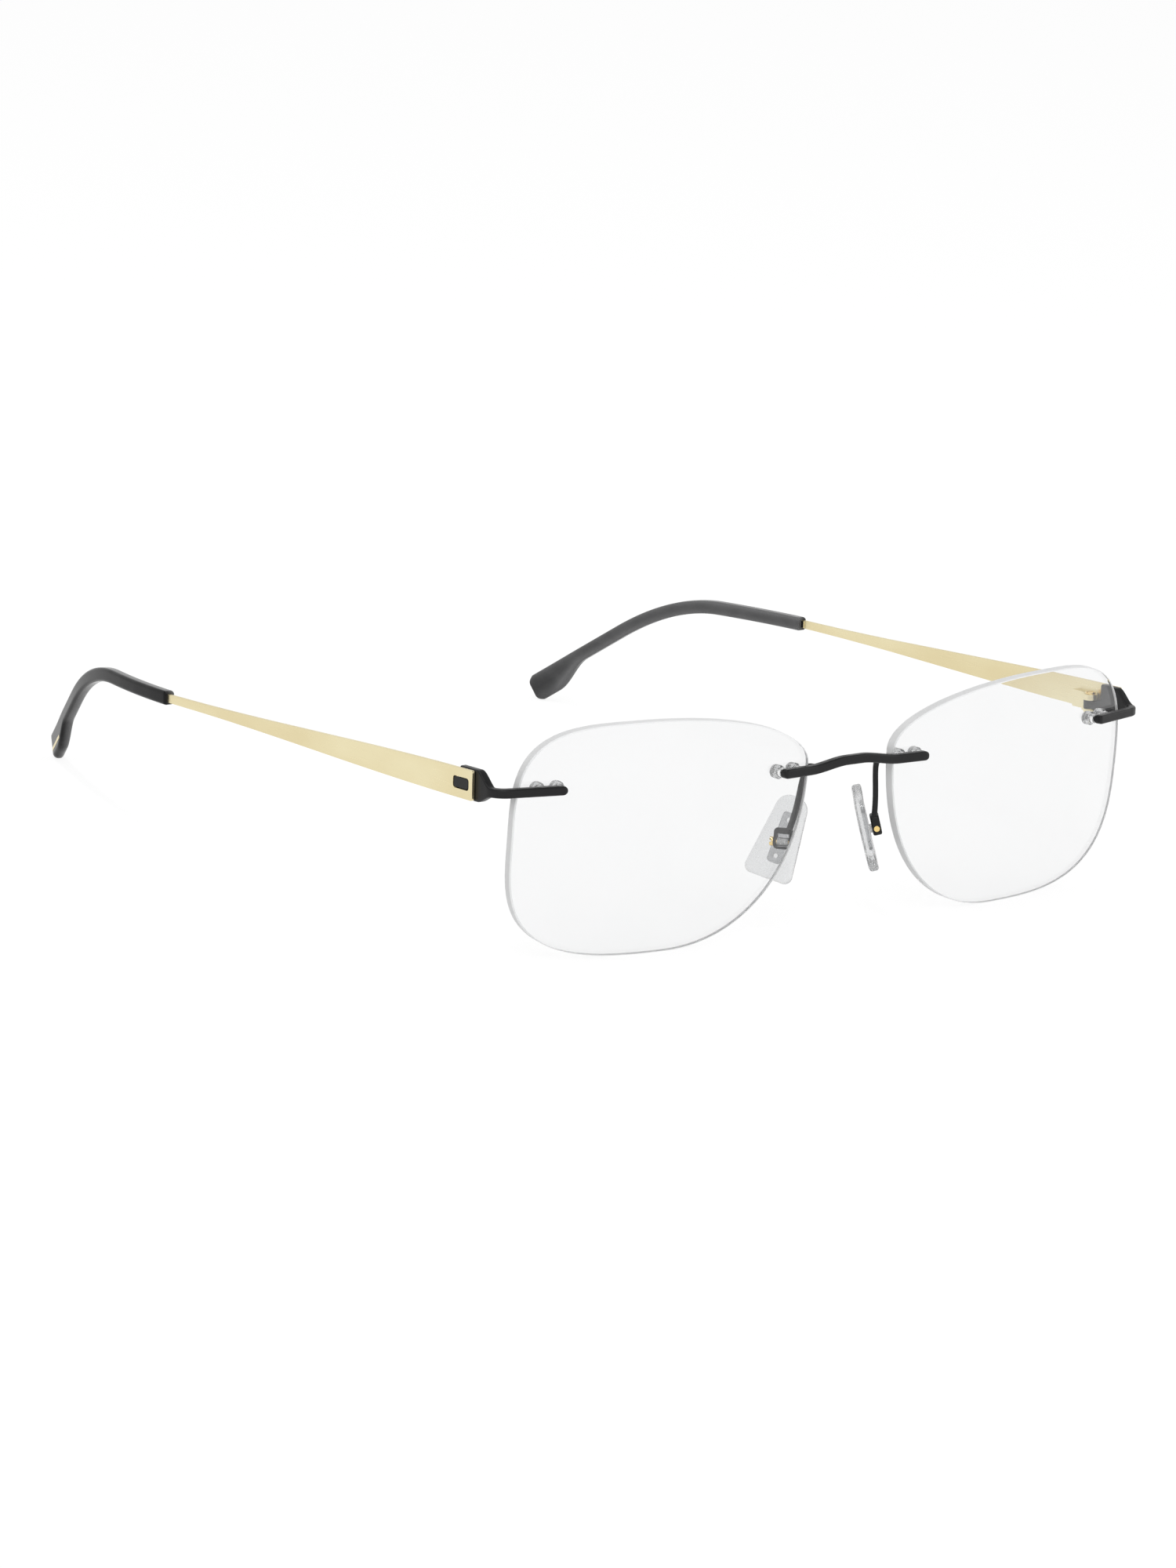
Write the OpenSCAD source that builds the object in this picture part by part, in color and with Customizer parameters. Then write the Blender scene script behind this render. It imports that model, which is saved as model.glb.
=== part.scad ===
// Rimless eyeglasses: two drilled lenses carry a bridge and two endpieces on posts,
// and flat metal temples fold on three-knuckle hinges behind the endpieces.
// Sizes are millimetres. +X is the wearer's left, +Y runs back along the temples, +Z is up.

/* [Lenses] */
// Width of a lens
lens_w = 56; // [48:0.5:62]
// Height of a lens
lens_h = 39; // [32:0.5:46]
// Thickness of a lens
lens_t = 1.6; // [1.4:0.1:2.6]
// Radius of a lens's front surface
lens_r = 150; // [110:5:300]
// Least distance between the two lenses
lens_gap = 17.9; // [15:0.1:22]
// Backward sweep of each lens, degrees
lens_wrap = 6.2; // [3:0.1:8]
// Lean of the lenses, bottom edge towards the cheeks, degrees
lens_lean = 5.3; // [2:0.1:9]
// Squareness of the upper outer corner, 2 is round
lens_square_upper = 3.5; // [2.4:0.1:4.5]
// Squareness of the lower outer corner
lens_square_lower = 3.16; // [2.4:0.1:4.5]
// Squareness of the nose side
lens_square_nose = 2.2; // [2:0.05:2.8]
// Height of the lens's widest point on the nose side, above its middle
lens_nose_wide_z = 9.5; // [5:0.5:12]
// Distance of the lens's highest point outward from its middle
lens_peak_x = 5; // [0:0.5:8]

/* [Posts and sleeves] */
// Diameter of the posts that pass through the lenses
post_d = 0.9; // [0.7:0.05:1.1]
// Distance between the two posts of a pair
post_pitch = 3.4; // [3.2:0.1:4]
// Wall of a clear sleeve round its post
sleeve_wall = 0.3; // [0.2:0.05:0.5]
// Diameter of a sleeve's round head behind the lens
sleeve_head_d = 2.3; // [2:0.1:2.6]
// Length of a sleeve's round head
sleeve_head_l = 1.4; // [1.2:0.1:2]

/* [Bridge] */
// Height of the bridge above the middle of the lenses
bridge_z = 8.7; // [5:0.1:11]
// Rise of the arch between the lenses
bridge_rise = 0.9; // [0:0.1:3]
// Height of the bridge's bar
bridge_h = 1.55; // [1.2:0.05:2.2]
// Depth of the bridge's bar from front to back
bridge_t = 1.5; // [1.2:0.05:2]
// Reach of the bridge's bar over each lens
bridge_lug_l = 6.5; // [6:0.1:9]

/* [Endpieces] */
// Height of the endpiece's bar above the middle of the lenses
endpiece_z = 9.75; // [6:0.05:12]
// Height of the bar over the lens
bar_h = 1.5; // [1.3:0.05:2.2]
// Depth of the bar from front to back
bar_t = 1.5; // [1.2:0.05:2]
// Reach of the bar over the lens
bar_lug_l = 8.4; // [7.5:0.1:11]
// Height of the tab that the temple stops against
tab_h = 5.6; // [4.8:0.1:6.5]
// Thickness of the tab
tab_t = 1.4; // [1.2:0.05:2]
// Length of the tab behind the bend
tab_l = 6.9; // [6:0.1:9]
// Radius of the bend at the corner, along its middle
bend_r = 2.6; // [1.5:0.1:3]
// Distance of the temple's inner face outside the lens's edge
temple_offset = 4.3; // [3.8:0.05:7]

/* [Hinges] */
// Diameter of the hinge screw
hinge_screw_d = 1; // [0.8:0.1:1.2]
// Diameter of the hinge knuckles
knuckle_d = 2.3; // [2:0.1:2.6]
// Height of the middle knuckle, which belongs to the endpiece
knuckle_h = 1.3; // [1:0.1:1.5]
// Height of the temple's upper and lower knuckles
fork_knuckle_h = 1; // [0.7:0.1:1.4]
// Distance of the hinge's middle below the temple's middle line
hinge_drop = 1.2; // [0:0.1:1.4]
// Distance of the hinge axis behind the tab
hinge_back = 2.6; // [2.5:0.1:4]

/* [Temples] */
// Thickness of the temple plate
plate_t = 0.55; // [0.5:0.05:0.9]
// Height of the temple plate at its front
plate_front_h = 4.9; // [4:0.05:6]
// Height of the temple plate where it enters the tip
plate_rear_h = 1.45; // [1.3:0.05:1.8]
// Overlap of the temple plate on the tab
plate_overlap = 4; // [3.5:0.1:4.5]
// Height of the temple's middle line above the middle of the lenses
temple_z = 10.3; // [7:0.1:13]
// Distance from the hinge axis to the tip's mouth
tip_start = 78; // [60:0.2:90]
// Distance from the hinge axis to the middle of the ear bend
ear_bend = 108.5; // [96:0.5:116]
// Distance from the middle of the ear bend to the tip's end, along the temple
tip_drop_l = 27.5; // [22:0.5:34]
// Slope of the tip behind the ear bend, degrees
tip_drop = 34.5; // [20:0.5:42]
// Inward turn of the tip's end, degrees
tip_inward = 22.3; // [0:0.1:26]

/* [Tips] */
// Height of the tip along the temple
tip_h = 2.4; // [2.2:0.05:3.4]
// Thickness of the tip
tip_t = 2; // [1.8:0.05:3]
// Extra height of the paddle at the tip's end
paddle_h = 2.6; // [0.5:0.1:3.5]
// Length of the paddle
paddle_l = 4.2; // [3:0.2:8]
// Height of the core wire inside the tip
core_h = 1.2; // [0.8:0.05:1.25]
// Length of the metal strip let into the paddle's outer face
strip_l = 5; // [3:0.5:8]
// Height of that strip
strip_h = 0.6; // [0.3:0.05:0.9]

/* [Nose pads] */
// Distance of each pad's pivot from the middle plane
pivot_x = 10.35; // [9:0.1:12.5]
// Distance of the pivot behind the lens's front middle
pivot_y = 4.1; // [2.6:0.05:5]
// Height of the pivot, from the middle of the lenses
pivot_z = -4; // [-7:0.1:-2]
// Turn of the pad's pivot axis from the line across the face, degrees
pad_splay = 52; // [45:1:65]
// Lean of the pad's face downwards, degrees
pad_lean = 14; // [5:1:18]
// Slant of the pad's outline in its own plane, degrees
pad_slant = 16; // [0:1:22]
// Height of a nose pad
pad_h = 14.2; // [11:0.1:16]
// Width of a nose pad at its foot
pad_foot_w = 8.7; // [7:0.1:9.5]
// Width of a nose pad at its head
pad_head_w = 5.9; // [4.8:0.1:6.8]
// Thickness of a nose pad
pad_t = 1.6; // [1.4:0.05:2.2]
// Diameter of the pad screw
pad_screw_d = 1; // [0.8:0.05:1.1]
// Width of the pad box along its screw
box_w = 3.1; // [2.8:0.05:3.6]
// Depth of the pad box
box_t = 1.5; // [1.4:0.05:1.8]
// Width of the pad arm's flat wire
arm_w = 1; // [0.8:0.05:1.3]
// Thickness of the pad arm's flat wire
arm_t = 0.9; // [0.7:0.05:1.1]

/* [Fits] */
// Radial clearance of a pin that turns in a bore
pin_clear = 0.05; // [0.02:0.01:0.1]
// Clearance of a piece fixed in its seat
seat_clear = 0.02; // [0.01:0.01:0.05]
// Gap between a bar and the lens that it crosses
lens_seat = 0.12; // [0.08:0.01:0.3]
// Running gap between faces that move past each other
run_gap = 0.1; // [0.06:0.01:0.2]

/* [Hidden] */
$fn = 48;

// Colours as they look on the object
clear = [0.93, 0.94, 0.95, 0.45];
black = [0.06, 0.06, 0.065];
gold = [0.86, 0.77, 0.52];
smoke = [0.2, 0.2, 0.21];

// Small helpers for curves and frames
function unit(v) = v / norm(v);
function ease(t) = let (c = min(1, max(0, t))) c * c * (3 - 2 * c);
function ramp(t, run) = t < -run / 2 ? 0 : t < run / 2 ? pow(t + run / 2, 2) / (2 * run) : t;
function tangent(path, i) =
    unit(path[min(i + 1, len(path) - 1)] - path[max(i - 1, 0)]);
function round_rect(w, h, r, drop = 0) = [
    for (corner = [0:3]) let (sx = [1, -1, -1, 1][corner], sy = [1, 1, -1, -1][corner])
        for (step = [0:3]) let (a = 90 * corner + 30 * step)
            [sx * (w / 2 - r) + r * cos(a), sy * (h / 2 - r) - drop + r * sin(a)]];
function ring(p, dir, ref, section) = let (side = unit(cross(dir, ref)), up = cross(side, dir))
    [for (q = section) p + side * q.x + up * q.y];

// Solid skin through a list of rings with the same number of points
module loft(rings) {
    n = len(rings[0]);
    last = len(rings) - 1;
    sides = [for (i = [0:last - 1], j = [0:n - 1]) let (k = (j + 1) % n)
        each [[i * n + j, i * n + k, (i + 1) * n + k],
              [i * n + j, (i + 1) * n + k, (i + 1) * n + j]]];
    first_cap = [for (j = [n - 1:-1:0]) j];
    last_cap = [for (j = [0:n - 1]) last * n + j];
    polyhedron([for (r = rings) each r], concat([first_cap], sides, [last_cap]));
}

// Lens geometry
lens_bottom_x = -1;
lens_outer_wide_z = 0.5;
lens_edge_sag = pow(lens_w / 2, 2) / (2 * lens_r);
lens_x = lens_gap / 2 + lens_w / 2 * cos(lens_wrap) + lens_edge_sag * sin(lens_wrap);
lens_edge_x = lens_x + lens_w / 2 * cos(lens_wrap) - lens_edge_sag * sin(lens_wrap);
lens_c = [lens_x - lens_r * sin(lens_wrap) * cos(lens_lean),
          lens_r * cos(lens_wrap) * cos(lens_lean), lens_r * sin(lens_lean)];
hole_d = post_d + 2 * sleeve_wall + 2 * seat_clear;
function lens_front(x, z) =
    lens_c.y - sqrt(pow(lens_r, 2) - pow(x - lens_c.x, 2) - pow(z - lens_c.z, 2));
function lens_turn(x) = asin((x - lens_c.x) / lens_r);
function quarter(a, mid, reach, n) = let (r = pow(pow(abs(cos(a)) / reach.x, n)
        + pow(abs(sin(a)) / reach.y, n), -1 / n))
    mid + r * [cos(a), sin(a)];
function lens_outline(step = 3) = let (w = lens_w / 2, h = lens_h / 2,
        outer = lens_outer_wide_z, nose = lens_nose_wide_z) concat(
    [for (a = [0:step:89]) quarter(a, [lens_peak_x, outer],
        [w - lens_peak_x, h - outer], lens_square_upper)],
    [for (a = [90:step:179]) quarter(a, [lens_peak_x, nose],
        [w + lens_peak_x, h - nose], 2)],
    [for (a = [180:step:269]) quarter(a, [lens_bottom_x, nose],
        [w + lens_bottom_x, h + nose], lens_square_nose)],
    [for (a = [270:step:359]) quarter(a, [lens_bottom_x, outer],
        [w - lens_bottom_x, h + outer], lens_square_lower)]);

// Bar over the outer part of the lens, then the bend and the tab, as one path seen from above
bar_mid_x = lens_edge_x - bar_lug_l / 2;
bar_turn = lens_turn(bar_mid_x);
bar_dir = [cos(bar_turn), sin(bar_turn)];
bar_out = [sin(bar_turn), -cos(bar_turn)];
bar_mid = [bar_mid_x, lens_front(bar_mid_x, endpiece_z)] + bar_out * (lens_seat + bar_t / 2);
bar_start = bar_mid - bar_dir * bar_lug_l / 2;
plate_in_x = lens_edge_x + temple_offset;
tab_x = plate_in_x - run_gap - tab_t / 2;
bend_start_x = tab_x - bend_r + bend_r * sin(bar_turn);
bend_start = bar_start + bar_dir * (bend_start_x - bar_start.x) / bar_dir.x;
bend_mid = bend_start - bar_out * bend_r;
bar_l = norm(bend_start - bar_start);
bend_l = bend_r * (90 - bar_turn) * PI / 180;
endpiece_l = bar_l + bend_l + tab_l;
tab_end_y = bend_mid.y + tab_l;
flare_from = bar_l + 0.73 * bend_l;
flare_to = bar_l + bend_l + 2.4;
function endpiece_turn(s) =
    s < bar_l ? bar_turn : min(90, bar_turn + (s - bar_l) / bend_r * 180 / PI);
function endpiece_at(s) = s < bar_l ? bar_start + bar_dir * s
    : s < bar_l + bend_l ? let (a = endpiece_turn(s)) bend_mid + bend_r * [sin(a), -cos(a)]
    : [tab_x, bend_mid.y + s - bar_l - bend_l];
function endpiece_ring(s, swell = 1) = let (a = endpiece_turn(s), p = endpiece_at(s),
        f = ease((s - flare_from) / (flare_to - flare_from)),
        h = swell * (bar_h + (tab_h - bar_h) * f), t = bar_t + (tab_t - bar_t) * f,
        z = endpiece_z + (temple_z - endpiece_z) * f)
    ring([p.x, p.y, z], [cos(a), sin(a), 0], [0, 0, 1],
        round_rect(t * (0.6 + 0.4 * swell), h, 0.35 * min(1, h / 1.4)));

// Hinge axis
hinge_x = plate_in_x - knuckle_d / 2 - 3 * run_gap;
hinge_y = tab_end_y + hinge_back;
fork_gap = knuckle_h + 2 * run_gap;
fork_h = fork_gap + 2 * fork_knuckle_h;
hinge_z = temple_z - hinge_drop;

// Temple plate and the curve of its tip
plate_front_y = tab_end_y - plate_overlap;
plate_x = plate_in_x + plate_t / 2;
tip_start_y = hinge_y + tip_start;
ear_bend_y = hinge_y + ear_bend;
tip_end_y = ear_bend_y + tip_drop_l;
drop_run = 21;
inward_run = 49;
inward_lead = 12.4;
core_end_back = 5;
window_l = 4.1;
window_h = 1.95;
window_front = 0.95;
function plate_half(y) = let (t = min(1, (y - plate_front_y) / (tip_start_y - plate_front_y)))
    (plate_rear_h + (plate_front_h - plate_rear_h) * (1 + cos(180 * t)) / 2) / 2;
function tip_at(y) = [
    plate_x - tan(tip_inward) * ramp(y - ear_bend_y + inward_lead, inward_run),
    y, temple_z - tan(tip_drop) * ramp(y - ear_bend_y, drop_run)];
function tip_path(y_list) = [for (y = y_list) tip_at(y)];
paddle_run = 3.6;
function paddle(y) = paddle_h * ease((y - tip_end_y + paddle_l + paddle_run) / paddle_run);
mouth_round = [[0, 0.8], [0.25, 0.94], [0.6, 1]];
end_round = [[0.9, 1], [0.5, 0.93], [0.2, 0.8], [0, 0.62]];
tip_y = concat([for (m = mouth_round) tip_start_y + m.x],
    [for (k = [1:27]) tip_start_y + 0.6 + k * (tip_end_y - tip_start_y - 1.5) / 28],
    [for (e = end_round) tip_end_y - e.x]);
tip_swell = concat([for (m = mouth_round) m.y], [for (k = [1:27]) 1], [for (e = end_round) e.y]);
function tip_rings() = let (path = tip_path(tip_y)) [for (i = [0:len(path) - 1])
    let (extra = paddle(path[i].y), h = (tip_h + extra) * tip_swell[i], t = tip_t * tip_swell[i])
    ring(path[i], tangent(path, i), [0, 0, 1], round_rect(t, h, 0.55, extra / 2))];

// Stance: lens feet and paddle corners share the table
lens_foot = let (v = -lens_h / 2, sag = v * v / (2 * lens_r))
    [-v * sin(lens_lean) + sag * cos(lens_lean), v * cos(lens_lean) + sag * sin(lens_lean)];
tip_points = [for (r = tip_rings()) each r];
stand_pitch = min([for (p = tip_points) if (p.y > ear_bend_y)
    atan2(p.z - lens_foot.y, p.y - lens_foot.x)]);
stand_lift = lens_foot.x * sin(stand_pitch) - lens_foot.y * cos(stand_pitch);
bridge_y = lens_front(lens_gap / 2, bridge_z) - lens_seat - bridge_t / 2;
bridge_front = lens_front(lens_gap / 2 + bridge_lug_l, bridge_z) - lens_seat - bridge_t;
front_y = bridge_front * cos(stand_pitch) + bridge_z * sin(stand_pitch);
rear_y = max([for (p = tip_points) p.y * cos(stand_pitch) + p.z * sin(stand_pitch)]);
module stand() {
    translate([0, -(front_y + rear_y) / 2, stand_lift]) rotate([-stand_pitch, 0, 0]) children();
}
module on_side(side) {
    if (side > 0) children();
    else mirror([1, 0, 0]) children();
}

// Posts and sleeves, in a frame whose origin is on the lens's front between the two posts
post_tip = lens_t + 0.9;
module at_lug(x, z, turn) {
    translate([x, lens_front(x, z), z]) rotate([0, 0, turn]) children();
}
module at_posts() {
    for (k = [-0.5, 0.5]) translate([k * post_pitch, 0, 0]) rotate([-90, 0, 0]) children();
}
post_inset = 0.85;
bar_post_x = lens_edge_x - bar_lug_l + post_inset + post_pitch / 2;
bridge_end_x = lens_gap / 2 + bridge_lug_l;
bridge_post_x = bridge_end_x - post_inset - post_pitch / 2;
module at_temporal() { at_lug(bar_post_x, endpiece_z, bar_turn) children(); }
module at_nasal() { at_lug(bridge_post_x, bridge_z, lens_turn(bridge_post_x)) children(); }
module posts() {
    at_posts() translate([0, 0, -lens_seat - bridge_t / 2])
        cylinder(d = post_d, h = lens_seat + bridge_t / 2 + post_tip);
}
module sleeve_pair() {
    head_from = lens_t + 0.1;
    head_r = sleeve_head_d / 2;
    dome = 0.5;
    difference() {
        union() {
            at_posts() {
                translate([0, 0, 0.05]) cylinder(d = hole_d - 2 * seat_clear, h = head_from + 0.1);
                translate([0, 0, head_from]) rotate_extrude() polygon(concat([[0, 0], [head_r, 0]],
                    [for (a = [0:15:90]) [head_r, sleeve_head_l] + dome * [cos(a) - 1, sin(a) - 1]],
                    [[0, sleeve_head_l]]));
            }
            translate([-post_pitch / 2, head_from, -0.4]) cube([post_pitch, 0.6, 0.8]);
        }
        at_posts() translate([0, 0, -1]) cylinder(d = post_d + 2 * seat_clear, h = post_tip + 1.05);
    }
}
module temporal_sleeve(side) { color(clear) on_side(side) at_temporal() sleeve_pair(); }
module nasal_sleeve(side) { color(clear) on_side(side) at_nasal() sleeve_pair(); }

// Lenses: a spherical shell cut to the outline and drilled for the sleeves
module at_lens() {
    translate([lens_x, 0, 0]) rotate([0, 0, lens_wrap]) rotate([lens_lean, 0, 0]) children();
}
module lens(side) {
    color(clear) on_side(side) difference() {
        intersection() {
            at_lens() rotate([90, 0, 0]) translate([0, 0, -15]) linear_extrude(20)
                polygon(lens_outline());
            translate(lens_c) difference() {
                sphere(r = lens_r, $fn = 200);
                sphere(r = lens_r - lens_t, $fn = 200);
            }
        }
        at_temporal() at_posts() translate([0, 0, -4]) cylinder(d = hole_d, h = 10);
        at_nasal() at_posts() translate([0, 0, -4]) cylinder(d = hole_d, h = 10);
    }
}

// Bridge: one bent bar with its four posts
bridge_bend_out = 9.5;
bridge_bend_in = 2.5;
function bridge_at(x) = let (ax = abs(x)) [x,
    lens_front(max(ax, lens_gap / 2), bridge_z) - lens_seat - bridge_t / 2,
    bridge_z + bridge_rise * ease((bridge_bend_out - ax) / (bridge_bend_out - bridge_bend_in))];
bridge_nose = [[0.02, 0.2], [0.1, 0.5], [0.25, 0.75], [0.5, 0.94], [0.78, 1]];
bridge_reach = bridge_end_x - 0.8;
function bridge_rings() = let (
        xs = concat([for (n = bridge_nose) n.x - bridge_end_x],
            [for (k = [1:35]) bridge_reach * (k / 18 - 1)],
            [for (k = [4:-1:0]) bridge_end_x - bridge_nose[k].x]),
        swell = concat([for (n = bridge_nose) n.y], [for (k = [1:35]) 1],
            [for (k = [4:-1:0]) bridge_nose[k].y]),
        path = [for (x = xs) bridge_at(x)])
    [for (i = [0:len(path) - 1]) let (s = swell[i])
        ring(path[i], tangent(path, i), [0, 0, 1],
            round_rect(bridge_t * (0.6 + 0.4 * s), bridge_h * s, 0.35 * min(1, s + 0.05)))];
module bridge() {
    color(black) union() {
        loft(bridge_rings());
        for (side = [-1, 1]) on_side(side) at_nasal() posts();
    }
}

// Endpieces: lug over the lens, bend, flared tab, and the tongue that is the middle knuckle
bar_nose = [[0.02, 0.2], [0.1, 0.5], [0.3, 0.78], [0.55, 0.94], [0.85, 1]];
boss_rise = run_gap + plate_t - 0.1;
boss_gap = 0.15;
boss_front_gap = 0.26;
function root_curve(l, h, k) = [for (a = [0:15:90])
    [tab_end_y + l * (1 - cos(a)), k * (knuckle_h / 2 + h * (1 - sin(a)))]];
module tongue() {
    upper = root_curve(hinge_back - knuckle_d / 2 - 3 * run_gap, 1, 1);
    lower = root_curve(1, 0.5, -1);
    edge = 0.25;
    root_y = tab_end_y - 0.5;
    intersection() {
        translate([hinge_x - 4, 0, 0]) rotate([90, 0, 90]) linear_extrude(8)
            polygon(concat([[root_y, upper[0].y]], upper,
                [[hinge_y, knuckle_h / 2], [hinge_y, -knuckle_h / 2]],
                [for (k = [6:-1:0]) lower[k]], [[root_y, lower[0].y]]));
        translate([0, 0, -4]) linear_extrude(8)
            polygon([[tab_x - tab_t / 2 + 0.05, root_y], [tab_x + tab_t / 2 - edge, root_y],
                [hinge_x + knuckle_d / 2 - edge, hinge_y], [hinge_x - knuckle_d / 2, hinge_y],
                [tab_x - tab_t / 2 + 0.05, tab_end_y + 0.4]]);
    }
    translate([hinge_x, hinge_y, -knuckle_h / 2]) cylinder(d = knuckle_d, h = knuckle_h);
}
module endpiece(side) {
    color(black) on_side(side) difference() {
        union() {
            loft(concat([for (n = bar_nose) endpiece_ring(n.x, n.y)],
                [for (k = [1:8]) endpiece_ring(0.85 + k / 9 * (bar_l - 0.85))],
                [for (k = [0:10]) endpiece_ring(bar_l + bend_l * k / 10)],
                [for (k = [1:10]) endpiece_ring(bar_l + bend_l + tab_l * k / 10)]));
            at_temporal() posts();
            translate([0, 0, hinge_z]) tongue();
            translate([tab_x, plate_front_y + window_front, temple_z - window_h / 2]) rotate([90, 0, 90])
                linear_extrude(tab_t / 2 + boss_rise) window(boss_gap, boss_front_gap);
        }
        translate([hinge_x, hinge_y, hinge_z - 5]) cylinder(d = hinge_screw_d + 2 * pin_clear, h = 10);
    }
}

// Hinge fork: upper and lower knuckles on a foot that is brazed to the temple
fork_foot_l = 3.4;
fork_foot_t = 1.1;
fork_trim = 0.6;
module hinge_fork(side) {
    color(gold) on_side(side) translate([hinge_x, hinge_y, hinge_z]) difference() {
        union() {
            for (k = [-1, 1]) translate([0, 0, k * (fork_gap + fork_knuckle_h) / 2 - fork_knuckle_h / 2])
                linear_extrude(fork_knuckle_h) union() {
                    circle(d = knuckle_d);
                    square([plate_in_x - hinge_x, knuckle_d / 2 + 1]);
                }
            translate([plate_in_x - hinge_x - fork_foot_t, knuckle_d / 2 + 3 * run_gap,
                    fork_trim - fork_h / 2])
                cube([fork_foot_t, fork_foot_l, fork_h - fork_trim]);
        }
        translate([0, 0, -5]) cylinder(d = hinge_screw_d + 2 * seat_clear, h = 10);
    }
}
screw_head_h = 0.4;
module hinge_screw(side) {
    color(gold) on_side(side) translate([hinge_x, hinge_y, hinge_z]) difference() {
        union() {
            translate([0, 0, -fork_h / 2]) cylinder(d = hinge_screw_d, h = fork_h);
            translate([0, 0, fork_h / 2]) cylinder(d = 1.7 * hinge_screw_d, h = screw_head_h);
        }
        translate([-2, -0.15, fork_h / 2 + screw_head_h / 2]) cube([4, 0.3, 1]);
    }
}

// Temples: a flat plate that tapers into the tip and runs on as its core wire
core_t = min(plate_t, 0.7);
core_from = 0.6;
core_y = [for (k = [0:22]) tip_start_y - core_from
    + k * (tip_end_y - core_end_back - tip_start_y + core_from) / 22];
module core(grow = 0) {
    path = tip_path(core_y);
    loft([for (i = [0:len(path) - 1]) ring(path[i], tangent(path, i), [0, 0, 1],
        [for (q = [[1, 1], [-1, 1], [-1, -1], [1, -1]])
            [q.x * (core_t / 2 + grow), q.y * (core_h / 2 + grow)]])]);
}
module window(gap = 0, lead = 0) {
    r = 0.5 - gap;
    l = window_l - gap - lead;
    h = window_h - 2 * gap;
    translate([lead, gap]) {
        for (k = [0, 1], m = [0, 1]) translate([r + k * (l - 2 * r), r + m * (h - 2 * r)]) circle(r = r);
        translate([0, r]) square([l, h - 2 * r]);
        translate([r, 0]) square([l - 2 * r, h]);
    }
}
module temple(side) {
    steps = 24;
    edge = [for (k = [1:steps]) plate_front_y + k * (tip_start_y - plate_front_y) / steps];
    round = 0.4;
    corner = [for (a = [0:15:90]) round * [1 - cos(a), sin(a) - 1] + [plate_front_y, plate_front_h / 2]];
    upper = concat(corner, [for (y = edge) [y, plate_half(y)]]);
    color(gold) on_side(side) union() {
        translate([plate_in_x, 0, temple_z]) rotate([90, 0, 90]) linear_extrude(plate_t) difference() {
            polygon(concat(upper, [for (k = [len(upper) - 1:-1:0]) [upper[k].x, -upper[k].y]]));
            translate([plate_front_y + window_front, -window_h / 2]) window();
        }
        core();
    }
}

// Tips: a sleeve over the core wire that bends behind the ear and ends in a paddle
strip_depth = 0.5;
strip_proud = 0.03;
strip_below = 2.1;
strip_end_back = 0.9;
strip_y = [for (k = [0:5]) tip_end_y - strip_end_back - strip_l * (1 - k / 5)];
module strip_bar(grow = 0) {
    path = tip_path(strip_y);
    loft([for (i = [0:len(path) - 1])
        let (end = i == 0 ? -grow : i == len(path) - 1 ? grow : 0, dir = tangent(path, i))
        ring(path[i] + dir * end, dir, [0, 0, 1],
            [for (q = [[1, 1], [0, 1], [0, -1], [1, -1]])
                [tip_t / 2 - strip_depth - grow + q.x * (strip_depth + strip_proud + 2 * grow),
                 q.y * (strip_h / 2 + grow) - strip_below]])]);
}
mouth_recess = 0.5;
module tip(side) {
    color(smoke) on_side(side) difference() {
        loft(tip_rings());
        core(seat_clear);
        strip_bar(seat_clear);
        translate([plate_x - core_t / 2 - 0.17, tip_start_y - 1, temple_z - plate_rear_h / 2 - 0.06])
            cube([core_t + 0.34, 1 + mouth_recess, plate_rear_h + 0.12]);
    }
}
module tip_strip(side) { color(gold) on_side(side) strip_bar(); }

// Nose pads, in a frame at the pivot: X along the screw, Y towards the nose, Z up the pad
box_below = 1.2;
box_above = 2.3;
box_wall = 0.5;
box_floor = 0.4;
box_head = 1;
stud_clear = 0.1;
pad_reach = 2.1;
pad_shift = 0.5;
pad_raise = 0.7;
insert_w = 2.4;
insert_l = 8.6;
insert_t = 0.6;
module at_pivot() {
    translate([pivot_x, pivot_y, pivot_z]) rotate([0, 0, pad_splay]) rotate([-pad_lean, 0, 0]) children();
}
function pivot_frame(p) = let (y = p.y * cos(pad_lean) + p.z * sin(pad_lean),
        z = p.z * cos(pad_lean) - p.y * sin(pad_lean))
    [pivot_x + p.x * cos(pad_splay) - y * sin(pad_splay),
     pivot_y + p.x * sin(pad_splay) + y * cos(pad_splay), pivot_z + z];
module on_pad() {
    translate([pad_shift, pad_reach, pad_raise]) rotate([90, -pad_slant, 0]) children();
}
module rounded(w, h, r) {
    translate([-w / 2, -h / 2 + r]) square([w, h - 2 * r]);
    translate([-w / 2 + r, -h / 2]) square([w - 2 * r, h]);
    for (x = [-1, 1], y = [-1, 1]) translate([x * (w / 2 - r), y * (h / 2 - r)]) circle(r = r);
}
arm_x = 7.2;
arm_root = [arm_x, bridge_y + bridge_t / 2, bridge_at(arm_x).z];
arm_end = pivot_frame([-0.85, 0, box_above - 0.3]);
arm_ref = pivot_frame([0, 1, 0]) - pivot_frame([0, 0, 0]);
function bezier(a, b, c, d, t) =
    pow(1 - t, 3) * a + 3 * pow(1 - t, 2) * t * b + 3 * (1 - t) * t * t * c + pow(t, 3) * d;
arm_out = [0, 3.8, 0.3];
arm_down = pivot_frame([-4, -2.1, 8.9]);
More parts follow.
